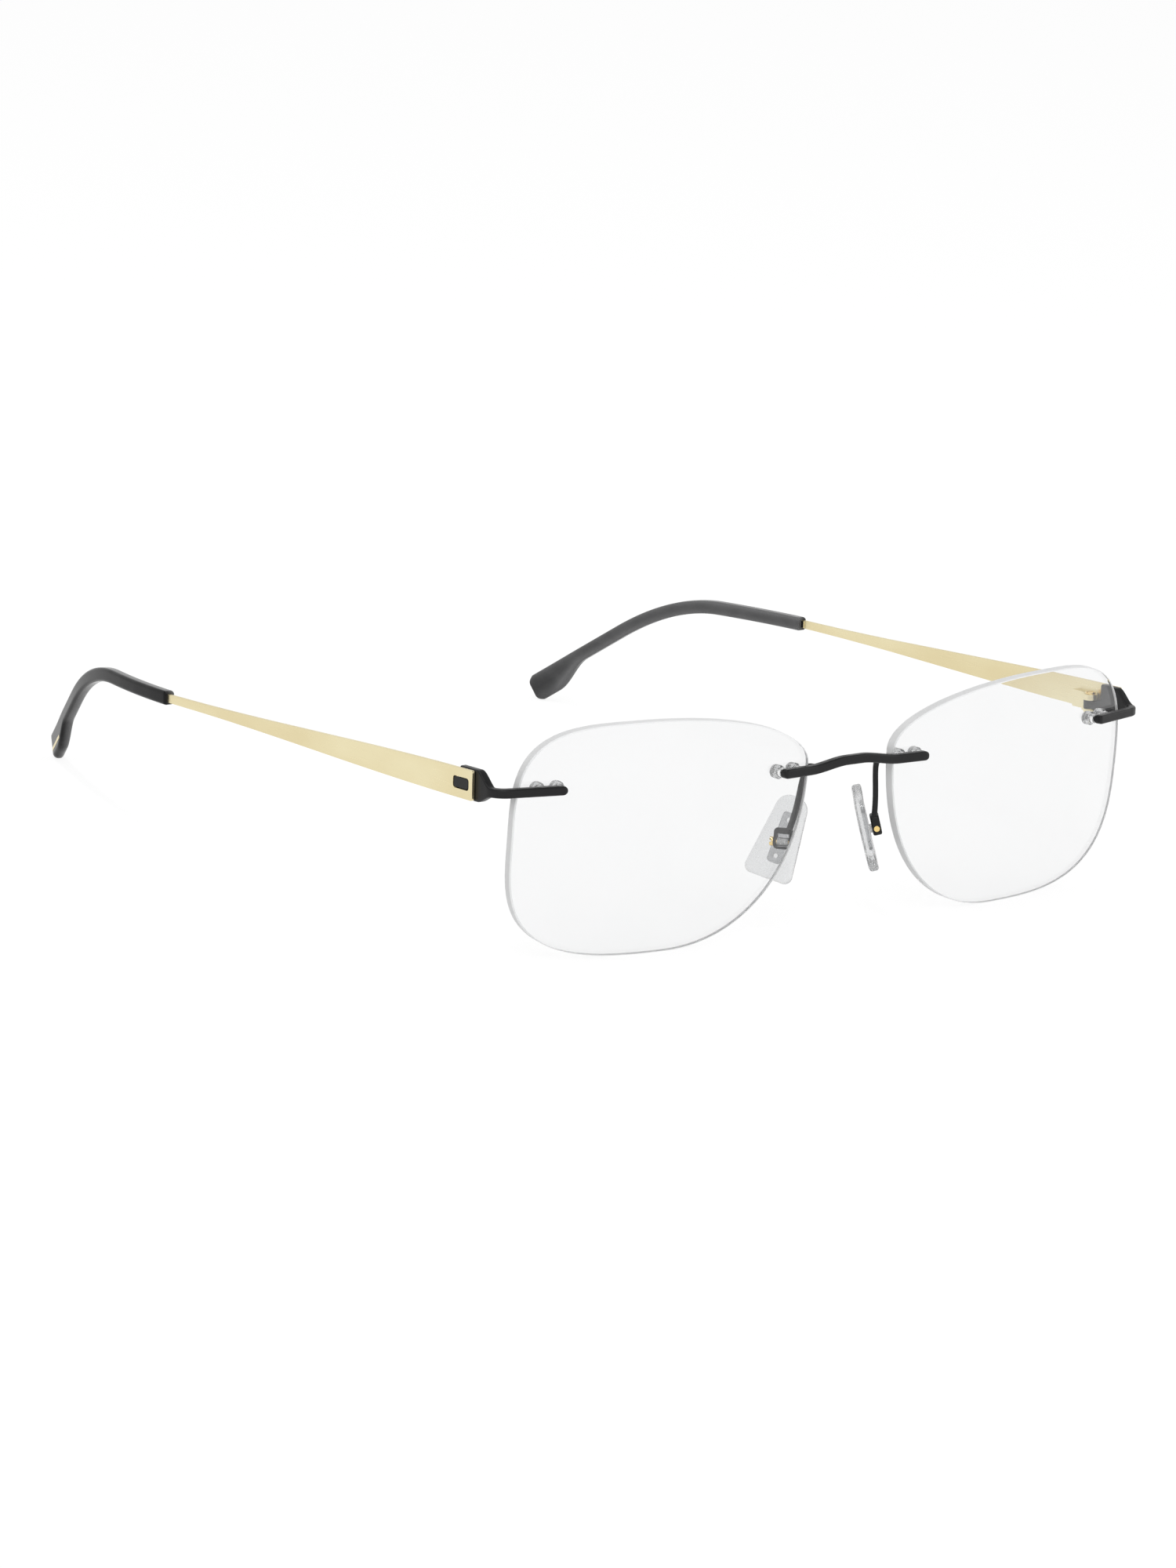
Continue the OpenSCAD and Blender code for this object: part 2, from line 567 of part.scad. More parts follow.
module pad_arm(side) {
    path = [for (k = [0:16]) bezier(arm_root, arm_root + arm_out, arm_down, arm_end, k / 16)];
    color(black) on_side(side) union() {
        loft([for (i = [0:len(path) - 1]) ring(path[i], i == 0 ? [0, 1, 0] : tangent(path, i), arm_ref,
            round_rect(arm_w, arm_t, 0.25))]);
        at_pivot() difference() {
            translate([0, box_t / 2, (box_above - box_below) / 2]) rotate([90, 0, 0]) linear_extrude(box_t)
                rounded(box_w, box_above + box_below, 0.7);
            translate([-box_w / 2 + box_wall, -box_t, -box_below + box_floor])
                cube([box_w - 2 * box_wall, 2 * box_t, box_above + box_below - box_floor - box_head]);
            rotate([0, 90, 0]) cylinder(d = pad_screw_d + 2 * seat_clear, h = 2 * box_w, center = true);
        }
    }
}
pad_screw_head_d = 1.5;
pad_screw_head_h = 0.6;
module pad_screw(side) {
    color(gold) on_side(side) at_pivot() rotate([0, 90, 0]) difference() {
        union() {
            translate([0, 0, -box_w / 2 - 0.1]) cylinder(d = pad_screw_d, h = box_w + 0.1);
            translate([0, 0, box_w / 2]) cylinder(d = pad_screw_head_d, h = pad_screw_head_h);
        }
        translate([-0.15, -2, box_w / 2 + pad_screw_head_h / 2]) cube([0.3, 4, 1]);
    }
}
module insert_plate(grow = 0) {
    on_pad() translate([0, 0, pad_t / 2 - insert_t - grow]) linear_extrude(insert_t + 2 * grow)
        rounded(insert_w + 2 * grow, insert_l + 2 * grow, 0.6);
}
module pad_insert(side) {
    stud_w = box_w - 2 * box_wall - 2 * stud_clear;
    stud_r = box_below - box_floor - stud_clear;
    color(clear) on_side(side) at_pivot() difference() {
        union() {
            insert_plate();
            rotate([0, 90, 0]) cylinder(r = stud_r, h = stud_w, center = true);
            translate([-stud_w / 2, 0, -stud_r * 0.8])
                cube([stud_w, pad_reach - pad_t / 2 - 0.03, 1.6 * stud_r]);
            translate([-0.2, 0, -stud_r * 0.8])
                cube([stud_w / 2 + 0.2, pad_reach - pad_t / 2 + 0.2, 1.6 * stud_r]);
        }
        rotate([0, 90, 0]) cylinder(d = pad_screw_d + 2 * pin_clear, h = 2 * box_w, center = true);
        for (k = [-1, 1]) on_pad() translate([0, k * insert_l * 0.36, -pad_t])
            cylinder(d = 0.8, h = 2 * pad_t);
    }
}
pad_foot_r = 1.3;
pad_head_r = 2.3;
pad_rounds = [[pad_foot_w / 2 - pad_foot_r, -pad_h / 2 + pad_foot_r, pad_foot_r],
    [-pad_foot_w / 2 + pad_foot_r, -pad_h / 2 + pad_foot_r, pad_foot_r],
    [-pad_head_w / 2 + pad_head_r, pad_h / 2 - pad_head_r, pad_head_r],
    [pad_head_w / 2 - pad_head_r, pad_h / 2 - pad_head_r, pad_head_r]];
function pad_ring(inset, z) = [for (a = [350:-10:0]) let (u = [cos(a), sin(a)],
        reach = [for (c = pad_rounds) c.x * u.x + c.y * u.y + c.z],
        c = pad_rounds[search(max(reach), reach)[0]])
    [c.x + (c.z - inset) * u.x, c.y + (c.z - inset) * u.y, z]];
module nose_pad(side) {
    face = pad_t / 2;
    color(clear) on_side(side) at_pivot() difference() {
        on_pad() loft([pad_ring(0.5, -face), pad_ring(0.2, 0.12 - face), pad_ring(0, 0.4 - face),
            pad_ring(0, face - 0.4), pad_ring(0.2, face - 0.12), pad_ring(0.5, face)]);
        insert_plate(seat_clear);
    }
}

stand() lens(1);  // left_lens
stand() lens(-1);  // right_lens
stand() bridge();
stand() endpiece(1);  // left_endpiece
stand() endpiece(-1);  // right_endpiece
stand() temporal_sleeve(1);  // left_temporal_sleeve
stand() temporal_sleeve(-1);  // right_temporal_sleeve
stand() nasal_sleeve(1);  // left_nasal_sleeve
stand() nasal_sleeve(-1);  // right_nasal_sleeve
stand() pad_arm(1);  // left_pad_arm
stand() pad_arm(-1);  // right_pad_arm
stand() pad_screw(1);  // left_pad_screw
stand() pad_screw(-1);  // right_pad_screw
stand() nose_pad(1);  // left_nose_pad
stand() nose_pad(-1);  // right_nose_pad
stand() pad_insert(1);  // left_pad_insert
stand() pad_insert(-1);  // right_pad_insert
stand() hinge_fork(1);  // left_hinge_fork
stand() hinge_fork(-1);  // right_hinge_fork
stand() hinge_screw(1);  // left_hinge_screw
stand() hinge_screw(-1);  // right_hinge_screw
stand() temple(1);  // left_temple
stand() temple(-1);  // right_temple
stand() tip(1);  // left_tip
stand() tip(-1);  // right_tip
stand() tip_strip(1);  // left_tip_strip
stand() tip_strip(-1);  // right_tip_strip
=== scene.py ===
"""Looks of a pair of rimless eyeglasses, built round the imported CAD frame.

Sizes in the dataclasses are millimetres, in the wearing frame: X across the face, Y back along the
temples, Z up, with the origin between the lenses. Angles are degrees. Each piece is described for
the wearer's left, and its to_table takes a point to the table on its own side, in metres.
"""

from __future__ import annotations

import logging
import math
from contextlib import contextmanager
from dataclasses import dataclass
from enum import Enum
from typing import Callable, Iterator, Sequence

import bmesh
import bpy
from mathutils import Matrix, Vector

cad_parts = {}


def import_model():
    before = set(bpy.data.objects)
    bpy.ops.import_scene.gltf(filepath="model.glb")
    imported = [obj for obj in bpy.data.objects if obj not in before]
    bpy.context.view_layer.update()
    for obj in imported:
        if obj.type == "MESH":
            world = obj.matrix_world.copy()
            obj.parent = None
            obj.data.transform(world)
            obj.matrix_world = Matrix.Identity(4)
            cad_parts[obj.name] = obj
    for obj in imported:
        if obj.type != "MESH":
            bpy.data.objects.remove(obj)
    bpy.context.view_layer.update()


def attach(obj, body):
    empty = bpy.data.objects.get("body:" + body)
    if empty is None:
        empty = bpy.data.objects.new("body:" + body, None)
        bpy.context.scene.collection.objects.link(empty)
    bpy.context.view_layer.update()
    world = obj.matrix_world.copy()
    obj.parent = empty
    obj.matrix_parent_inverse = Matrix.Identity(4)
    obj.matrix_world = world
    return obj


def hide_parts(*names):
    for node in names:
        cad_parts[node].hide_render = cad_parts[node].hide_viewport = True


LOG = logging.getLogger("eyeglasses")
MM = 0.001
# Attribute of painted light on the tip: painted shade on its outer side, painted light shining through
# towards the head, and painted shade of the wire and the strip
PAINTED_LIGHT = "inside"
Pair = tuple[float, float]
Point = tuple[float, float, float]
Ring = list[Vector]

UP = Vector((0, 0, 1))
BACK = Vector((0, 1, 0))
WHITE = (1, 1, 1, 1)
# Swaps X and Y, so that a rod along Y comes to lie along X
ALONG_X = Matrix(((0, 1, 0, 0), (1, 0, 0, 0), (0, 0, 1, 0), (0, 0, 0, 1)))
# Loose corners this close become one, and faces this nearly level become one
MERGE_WITHIN = 0.0005
FLAT_WITHIN = 0.3
NORMAL_WEIGHT = 60
BEVEL_SEGMENTS = 2
ROD_SIDES = 32
# Step to either side that gives a path's direction, and how far a cutter stands out of the work
NUDGE = 0.05
CLEAR = 1


class Side(Enum):
    """The wearer's left is +X."""

    LEFT = 1
    RIGHT = -1

    @property
    def word(self) -> str:
        """The side as it stands in node names."""
        return self.name.lower()

    @property
    def mirror(self) -> Matrix:
        """Mirror that takes the left half to this side."""
        return Matrix.Diagonal((self.value, 1, 1, 1))


class Slot(Enum):
    """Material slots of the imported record."""

    LENS = "lens"
    BLACK = "black_metal"
    GOLD = "gold_metal"
    ACETATE = "dark_acetate"
    PLASTIC = "clear_plastic"
    SILICONE = "clear_silicone"


class Body(Enum):
    """Bodies of the part: the front is one, the others come in pairs."""

    FRONT = "front"
    TEMPLE = "temple_arm"
    PAD = "pad"

    def on(self, side: Side | None) -> str:
        """Name of the body on one side.

        Args:
            side: The side, or None for a piece on the middle plane.

        Returns:
            The body's name in the record.
        """
        if self is Body.FRONT or side is None:
            return Body.FRONT.value
        return f"{side.word}_{self.value}"


# Bench work: small helpers round the operators


def activate(obj: bpy.types.Object) -> None:
    """Selects one object alone and makes it active.

    Args:
        obj: The object.
    """
    bpy.ops.object.select_all(action="DESELECT")
    obj.select_set(True)
    bpy.context.view_layer.objects.active = obj


@contextmanager
def editing(obj: bpy.types.Object) -> Iterator[None]:
    """Holds an object in edit mode with all of its mesh selected.

    Args:
        obj: The object to edit.
    """
    activate(obj)
    bpy.ops.object.mode_set(mode="EDIT")
    bpy.ops.mesh.select_all(action="SELECT")
    yield
    bpy.ops.object.mode_set(mode="OBJECT")


def skin(name: str, rings: Sequence[Ring]) -> bpy.types.Object:
    """Closed skin through rings, drawn by extruding one face from ring to ring.

    Args:
        name: Name of the new object.
        rings: Rings of the same number of points, in metres.

    Returns:
        The new object, with its place in its mesh.
    """
    bpy.ops.object.select_all(action="DESELECT")
    bpy.ops.mesh.primitive_circle_add(vertices=len(rings[0]), radius=MM, fill_type="NGON")
    obj = bpy.context.object
    obj.name = obj.data.name = name
    with editing(obj):
        mesh = bmesh.from_edit_mesh(obj.data)
        place = mesh.verts.layers.int.new("place")
        for i, vert in enumerate(mesh.verts):
            vert[place] = i
        for step, ring in enumerate(rings):
            if step:
                bpy.ops.mesh.extrude_region_move(TRANSFORM_OT_translate={"value": (0, 0, MM)})
            mesh = bmesh.from_edit_mesh(obj.data)
            place = mesh.verts.layers.int["place"]
            for vert in mesh.verts:
                if vert.select:
                    vert.co = ring[vert[place]]
            bmesh.update_edit_mesh(obj.data)
        bpy.ops.mesh.select_all(action="SELECT")
        bpy.ops.mesh.normals_make_consistent(inside=False)
    obj.data.attributes.remove(obj.data.attributes["place"])
    return obj


def cad_copy(node: str, name: str) -> bpy.types.Object:
    """Copies a CAD node and merges its loose triangles.

    Args:
        node: The CAD node.
        name: Name of the copy.

    Returns:
        The copy, one closed mesh with its flat faces whole.
    """
    obj = bpy.data.objects.new(name, bpy.data.objects[node].data.copy())
    bpy.context.scene.collection.objects.link(obj)
    obj.data.name = name
    obj.data.materials.clear()
    activate(obj)
    bpy.ops.mesh.customdata_custom_splitnormals_clear()
    with editing(obj):
        bpy.ops.mesh.remove_doubles(threshold=MERGE_WITHIN * MM)
        bpy.ops.mesh.dissolve_limited(angle_limit=math.radians(FLAT_WITHIN))
    return obj


def apply(obj: bpy.types.Object, kind: str, **values: object) -> None:
    """Adds a modifier, sets it and applies it.

    Args:
        obj: The object that takes the modifier.
        kind: Blender's type of modifier.
        **values: Its settings.
    """
    activate(obj)
    modifier = obj.modifiers.new(kind.title(), kind)
    for key, value in values.items():
        setattr(modifier, key, value)
    bpy.ops.object.modifier_apply(modifier=modifier.name)


class Boolean(Enum):
    """What a tool solid does to an object."""

    CUT = "DIFFERENCE"
    JOIN = "UNION"

    def work(self, obj: bpy.types.Object, *tools: bpy.types.Object) -> None:
        """Works an object with tool solids and removes them.

        Args:
            obj: The object to work on.
            *tools: Closed solids.
        """
        for tool in tools:
            apply(obj, "BOOLEAN", operation=self.value, solver="EXACT", object=tool)
            bpy.data.objects.remove(tool)


def smooth(obj: bpy.types.Object, angle: float) -> None:
    """Shades an object smooth up to an angle, with flat faces kept flat.

    Args:
        obj: The object to shade.
        angle: Sharpest angle that is still smooth.
    """
    activate(obj)
    bpy.ops.object.shade_smooth_by_angle(angle=math.radians(angle))
    apply(obj, "WEIGHTED_NORMAL", keep_sharp=True, weight=NORMAL_WEIGHT)


# Drawing: sections, paths and tool solids


def rounded_box(wide: float, high: float, radius: float, steps: int, drop: float = 0) -> list[Pair]:
    """Outline of a rectangle with rounded corners, anticlockwise.

    Args:
        wide: Width.
        high: Height.
        radius: Radius of the corners.
        steps: Facets of each corner.
        drop: Distance of the rectangle's middle below the origin.

    Returns:
        Its points.
    """
    points = []
    for corner, (sx, sy) in enumerate(((1, 1), (-1, 1), (-1, -1), (1, -1))):
        for k in range(steps + 1):
            a = math.radians(90 * corner + 90 * k / steps)
            points.append((sx * (wide / 2 - radius) + radius * math.cos(a),
                           sy * (high / 2 - radius) - drop + radius * math.sin(a)))
    return points


def ease(t: float) -> float:
    """Smooth step from 0 to 1."""
    c = min(1.0, max(0.0, t))
    return c * c * (3 - 2 * c)


def heading(path: Callable[[float], Vector], s: float, step: float = NUDGE) -> Vector:
    """Direction of a path at a distance along it."""
    return (path(s + step) - path(s - step)).normalized()


def across(section: Sequence[Pair], where: Vector, along: Vector, rise: Vector = UP) -> Ring:
    """Sets a section across a path.

    Args:
        section: The section's points, to the side and up.
        where: Point of the path.
        along: Direction of the path.
        rise: Direction that the section's height follows.

    Returns:
        The points round the path.
    """
    side = along.cross(rise).normalized()
    up = side.cross(along)
    return [where + side * p + up * q for p, q in section]


def rod(thick: float, span: Pair, place: Matrix, shift: float = 0) -> bpy.types.Object:
    """Round rod along Y, as a post or a drill.

    Args:
        thick: Its diameter.
        span: Where it starts and ends.
        place: Takes the rod's frame to the table.
        shift: Distance of the rod from the frame's Y axis, along X.

    Returns:
        The rod.
    """
    r, turns = thick / 2, [math.tau * k / ROD_SIDES for k in range(ROD_SIDES)]
    return skin("rod", [[place @ Vector((shift + r * math.cos(a), y, r * math.sin(a))) for a in turns]
                        for y in span])


def block(low: Point, high: Point, place: Matrix) -> bpy.types.Object:
    """Box between two corners, as a saw.

    Args:
        low: Its low corner.
        high: Its high corner.
        place: Takes the corners' frame to the table.

    Returns:
        The box.
    """
    plan = ((low[0], low[1]), (high[0], low[1]), (high[0], high[1]), (low[0], high[1]))
    return skin("block", [[place @ Vector((x, y, z)) for x, y in plan] for z in (low[2], high[2])])


@dataclass(frozen=True)
class BarNose:
    """The rounded end of a bar."""

    long: float
    power: float = 2.2
    corner: float = 0.35
    corner_slack: float = 0.05
    blunt: float = 0.6
    steps: int = 8
    rings: int = 12

    def swell(self, s: float) -> float:
        """Share of the full section at a distance from the bar's end."""
        return math.sqrt(1 - max(0, 1 - s / self.long) ** self.power)

    def section(self, deep: float, high: float, s: float) -> list[Pair]:
        """Section of a bar near its end.

        Args:
            deep: Full depth.
            high: Full height.
            s: Distance from the bar's end.

        Returns:
            The section's points.
        """
        share = self.swell(s)
        return rounded_box(deep * (self.blunt + (1 - self.blunt) * share), high * share,
                           self.corner * min(1, share + self.corner_slack), self.steps)

    def stops(self) -> list[float]:
        """Distances from the bar's end where the rounding takes a ring."""
        return [self.long * (k / self.rings) ** 2 for k in range(1, self.rings + 1)]


@dataclass(frozen=True)
class Stance:
    """How the glasses stand on the table, on the lenses' feet and the paddles' corners."""

    pitch: float = 3.10255
    lift: float = 19.4371
    middle: float = 74.8522

    @property
    def matrix(self) -> Matrix:
        """Takes millimetres of the wearing frame to metres on the table."""
        turn = Matrix.Rotation(math.radians(-self.pitch), 4, "X")
        return Matrix.Scale(MM, 4) @ Matrix.Translation((0, -self.middle, self.lift)) @ turn


STANCE = Stance()


# Finishes


class Sheet:
    """A node tree that is being laid out."""

    def __init__(self, tree: bpy.types.NodeTree) -> None:
        """Takes a tree over."""
        self.tree = tree

    @staticmethod
    def fill(node: bpy.types.Node, **inputs: object) -> None:
        """Sets sockets of a node, with _ for a space in a socket's name."""
        for key, value in inputs.items():
            node.inputs[key.replace("_", " ")].default_value = value

    def add(self, kind: str, **inputs: object) -> bpy.types.Node:
        """Adds a node and sets its sockets.

        Args:
            kind: Blender's type of node.
            **inputs: Socket values, with _ for a space in a socket's name.

        Returns:
            The node.
        """
        node = self.tree.nodes.new(kind)
        self.fill(node, **inputs)
        return node

    def link(self, a: bpy.types.Node, output: str | int, b: bpy.types.Node, socket: str | int) -> None:
        """Links one node's output to another's socket."""
        self.tree.links.new(a.outputs[output], b.inputs[socket])


class Coat(Sheet):
    """The node sheet of one finish."""

    noise_span: Pair = (0.3, 0.7)

    def __init__(self, name: str) -> None:
        """Starts a new material.

        Args:
            name: Name of the material.
        """
        self.material = bpy.data.materials.new(name)
        self.material.use_nodes = True
        super().__init__(self.material.node_tree)
        self.tree.nodes.clear()
        self.out = self.add("ShaderNodeOutputMaterial")
        self.surface = self.add("ShaderNodeBsdfPrincipled")
        self.link(self.surface, "BSDF", self.out, "Surface")
        self.where = self.add("ShaderNodeTexCoord")

    def noise(self, grain: float, stretch: Point = (1, 1, 1), detail: float = 3) -> bpy.types.Node:
        """Noise on the piece's own coordinates.

        Args:
            grain: Size of one grain.
            stretch: Scale of the coordinates, below 1 along a direction where the grain is long.
            detail: Octaves.

        Returns:
            The noise node, whose first output runs from 0 to 1.
        """
        mapping = self.add("ShaderNodeMapping", Scale=stretch)
        self.link(self.where, "Object", mapping, "Vector")
        noise = self.add("ShaderNodeTexNoise", Scale=1 / (grain * MM), Detail=detail)
        self.link(mapping, "Vector", noise, "Vector")
        return noise

    def tones(self, noise: bpy.types.Node, dark: Point, light: Point, span: Pair = (0.35, 0.65)) -> None:
        """Runs the base colour from one tone to another over a noise.

        Args:
            noise: The noise.
            dark: Colour at its low end.
            light: Colour at its high end.
            span: Noise values of the two tones.
        """
        ramp = self.add("ShaderNodeValToRGB")
        for stop, place, colour in zip(ramp.color_ramp.elements, span, (dark, light)):
            stop.position = place
            stop.color = (*colour, 1)
        self.link(noise, 0, ramp, "Fac")
        self.link(ramp, "Color", self.surface, "Base Color")

    def roughness(self, noise: bpy.types.Node, least: float, most: float) -> None:
        """Runs the roughness between two values over a noise.

        Args:
            noise: The noise.
            least: Roughness at its low end.
            most: Roughness at its high end.
        """
        low, high = self.noise_span
        span = self.add("ShaderNodeMapRange", From_Min=low, From_Max=high, To_Min=least, To_Max=most)
        self.link(noise, 0, span, "Value")
        self.link(span, "Result", self.surface, "Roughness")

    def bump(self, noise: bpy.types.Node, strength: float, depth: float) -> None:
        """Raises the surface by a noise.

        Args:
            noise: The noise.
            strength: Strength of the bump, 0 to 1.
            depth: Height of the grain.
        """
        bump = self.add("ShaderNodeBump", Strength=strength, Distance=depth * MM)
        self.link(noise, 0, bump, "Height")
        self.link(bump, "Normal", self.surface, "Normal")

    def absorb(self, tint: Point, density: float) -> None:
        """Lets the inside take light of all but a tint, with a density per metre."""
        volume = self.add("ShaderNodeVolumeAbsorption", Color=(*tint, 1), Density=density)
        self.link(volume, "Volume", self.out, "Volume")


@dataclass(frozen=True)
class Finish:
    """A finish of the part: one material, made once and shared."""

    name: str
    slot: Slot

    def lay(self, coat: Coat) -> None:
        """Lays the finish out on its node sheet."""
        raise NotImplementedError

    def material(self) -> bpy.types.Material:
        """The finish's material.

        Returns:
            The material, new at the first call.
        """
        found = bpy.data.materials.get(self.name)
        if found is None:
            coat = Coat(self.name)
            self.lay(coat)
            found = coat.material
        return found


@dataclass(frozen=True)
class SatinMetal(Finish):
    """Plated metal over fine brush lines that run along the temple."""

    dark: Point = (0.765, 0.664, 0.405)
    light: Point = (0.832, 0.75, 0.49)
    brush: Point = (1, 0.012, 1)
    gloss: Pair = (0.26, 0.38)
    line_grain: float = 0.09
    line_detail: float = 4
    line_bump: Pair = (0.07, 0.004)
    cloud_grain: float = 9
    cloud_stretch: Point = (1, 0.4, 1)
    cloud_detail: float = 2

    def lay(self, coat: Coat) -> None:
        """Lays the brush lines and the clouds of tone out.

        Args:
            coat: The node sheet.
        """
        lines = coat.noise(self.line_grain, self.brush, self.line_detail)
        clouds = coat.noise(self.cloud_grain, self.cloud_stretch, self.cloud_detail)
        coat.fill(coat.surface, Metallic=1)
        coat.tones(clouds, self.dark, self.light)
        coat.roughness(lines, *self.gloss)
        coat.bump(lines, *self.line_bump)


@dataclass(frozen=True)
class MatteBlack(Finish):
    """Black coating with a fine dry grain."""

    dark: Point = (0.004, 0.004, 0.0044)
    light: Point = (0.008, 0.008, 0.0087)
    specular: float = 0.28
    gloss: Pair = (0.32, 0.44)
    gloss_grain: float = 1.5
    grain: float = 0.07
    grain_bump: Pair = (0.25, 0.012)

    def lay(self, coat: Coat) -> None:
        """Lays the grain and the clouds of gloss out.

        Args:
            coat: The node sheet.
        """
        grain = coat.noise(self.grain)
        coat.fill(coat.surface, Specular_IOR_Level=self.specular)
        coat.tones(grain, self.dark, self.light)
        coat.roughness(coat.noise(self.gloss_grain), *self.gloss)
        coat.bump(grain, *self.grain_bump)


@dataclass(frozen=True)
class SmokeAcetate(Finish):
    """Polished smoke-grey acetate with faint swirls, and with painted light: painted shade on its outer
    side and painted light shining through towards the head.
    """

    # Tones of the painted shade on the tip's outer side and of the painted light shining through towards
    # the head
    outside: Point = (0.008, 0.008, 0.0085)
    inside: Point = (0.15, 0.15, 0.152)
    specular: float = 0.12
    gloss: Pair = (0.1, 0.16)
    swirl: float = 0.3
    swirl_grain: float = 2.5
    swirl_stretch: Point = (1, 0.5, 1)

    def lay(self, coat: Coat) -> None:
        """Lays the tones out over the piece's attribute of painted light, dark on the outer side and pale
        towards the head, with swirls added to it.

        Args:
            coat: The node sheet.
        """
        coat.fill(coat.surface, Specular_IOR_Level=self.specular)
        cloud = coat.noise(self.swirl_grain, self.swirl_stretch)
        # The attribute carries the tip's painted light and painted shade
        depth = coat.add("ShaderNodeAttribute")
        depth.attribute_name = PAINTED_LIGHT
        blend = coat.add("ShaderNodeMath")
        blend.operation = "MULTIPLY_ADD"
        blend.inputs[1].default_value = self.swirl
        coat.link(cloud, 0, blend, 0)
        coat.link(depth, "Fac", blend, 2)
        coat.tones(blend, self.outside, self.inside, (self.swirl / 2, 1 + self.swirl / 2))
        coat.roughness(cloud, *self.gloss)


@dataclass(frozen=True)
class ClearPlastic(Finish):
    """See-through plastic with slight flow marks, whose body takes some of the light."""

    dark: Point = (0.87, 0.875, 0.88)
    light: Point = (0.94, 0.943, 0.946)
    gloss: Pair = (0.2, 0.3)
    density: float = 20
    tint: Point = (0.6, 0.6, 0.61)
    clear: float = 1
    ior: float = 1.5
    specular: float = 0.5
    cloud: float = 0.5
    grain: float = 0.5
    detail: float = 3
    grain_bump: Pair | None = (0.1, 0.02)

    def lay(self, coat: Coat) -> None:
        """Lays the clouds of tone, the grain and the body out.

        Args:
            coat: The node sheet.
        """
        coat.fill(coat.surface, Transmission_Weight=self.clear, IOR=self.ior,
                  Specular_IOR_Level=self.specular)
        coat.tones(coat.noise(self.cloud, detail=self.detail), self.dark, self.light)
        grain = coat.noise(self.grain, detail=self.detail)
        coat.roughness(grain, *self.gloss)
        if self.grain_bump:
            coat.bump(grain, *self.grain_bump)
        coat.absorb(self.tint, self.density)


@dataclass(frozen=True)
class LensGlass(ClearPlastic):
    """Clear lens with a quiet coating, polished or, round its edge, ground to a satin."""

    dark: Point = (0.92, 0.922, 0.924)
    light: Point = (0.929, 0.931, 0.933)
    gloss: Pair = (0.0, 0.004)
    density: float = 25
    tint: Point = (0.89, 0.9, 0.905)
    ior: float = 1.56
    specular: float = 0.3
    cloud: float = 14
    grain: float = 14
    detail: float = 2
    grain_bump: Pair | None = None


@dataclass(frozen=True)
class Silicone(ClearPlastic):
    """Clear soft silicone with a satin skin."""

    dark: Point = (0.775, 0.78, 0.785)
    light: Point = (0.81, 0.815, 0.82)
    gloss: Pair = (0.22, 0.36)
    density: float = 50
    tint: Point = (0.9, 0.9, 0.905)
    ior: float = 1.41
    cloud: float = 3
    grain: float = 0.25
    grain_bump: Pair | None = (0.12, 0.01)


GOLD = SatinMetal("satin_gold", Slot.GOLD)
BRIGHT_GOLD = SatinMetal("bright_gold", Slot.GOLD, (0.85, 0.62, 0.24), (0.92, 0.72, 0.34),
                         (1, 1, 1), (0.14, 0.22))
WIRE = SatinMetal("core_steel", Slot.GOLD, (0.05, 0.05, 0.052), (0.09, 0.09, 0.092))
BLACK = MatteBlack("matte_black", Slot.BLACK)
LENS = LensGlass("lens_clear", Slot.LENS)
LENS_EDGE = LensGlass("lens_edge", Slot.LENS, (0.90, 0.903, 0.905), (0.95, 0.953, 0.955),
                      (0.3, 0.4), clear=0.3)
ACETATE = SmokeAcetate("smoke_acetate", Slot.ACETATE)
SLEEVE = ClearPlastic("sleeve_plastic", Slot.PLASTIC, clear=0.75)
INSERT = ClearPlastic("insert_plastic", Slot.PLASTIC, (0.50, 0.505, 0.515), (0.60, 0.605, 0.615),
                      (0.10, 0.2), 60)
INSERT_EDGE = ClearPlastic("insert_edge", Slot.PLASTIC, density=60)
INSERT_STUD = ClearPlastic("insert_stud", Slot.PLASTIC, (0.66, 0.665, 0.67), (0.86, 0.863, 0.866),
                           clear=0.3)
PAD = Silicone("pad_silicone", Slot.SILICONE)


# Sub-assemblies


@dataclass
class Piece:
    """A piece of the glasses, which rides a body and stands for one CAD node."""

    side: Side | None
    node: str
    name: str
    body: Body
    finish: Finish
    angle: float = 40

    @property
    def prefix(self) -> str:
        """How the names of this side begin."""
        return f"{self.side.word}_" if self.side else ""

    @property
    def to_table(self) -> Matrix:
        """Takes the wearing frame of this side to the table."""
        return STANCE.matrix @ self.side.mirror if self.side else STANCE.matrix

    def model(self) -> bpy.types.Object:
        """The shape of the piece, as a new object."""
        raise NotImplementedError

    def dress(self, obj: bpy.types.Object) -> tuple[Finish, ...]:
        """Finishes of the piece, in the order of its faces' material numbers."""
        return (self.finish,)

    def build(self) -> None:
        """Models and dresses the piece, and puts it on its body in place of its CAD node."""
        obj = self.model()
        smooth(obj, self.angle)
        finishes = self.dress(obj)
        for finish in finishes:
            obj.data.materials.append(finish.material())
        node, body = self.prefix + self.node, self.body.on(self.side)
        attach(obj, body)
        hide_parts(node)
        LOG.info("%s on %s: %d faces, stands for %s", obj.name, body, len(obj.data.polygons), node)


class Lug(Enum):
    """Ends of a lens that carry a bar, as places in the lens's list of lugs."""

    TEMPORAL = 0
    NASAL = 1


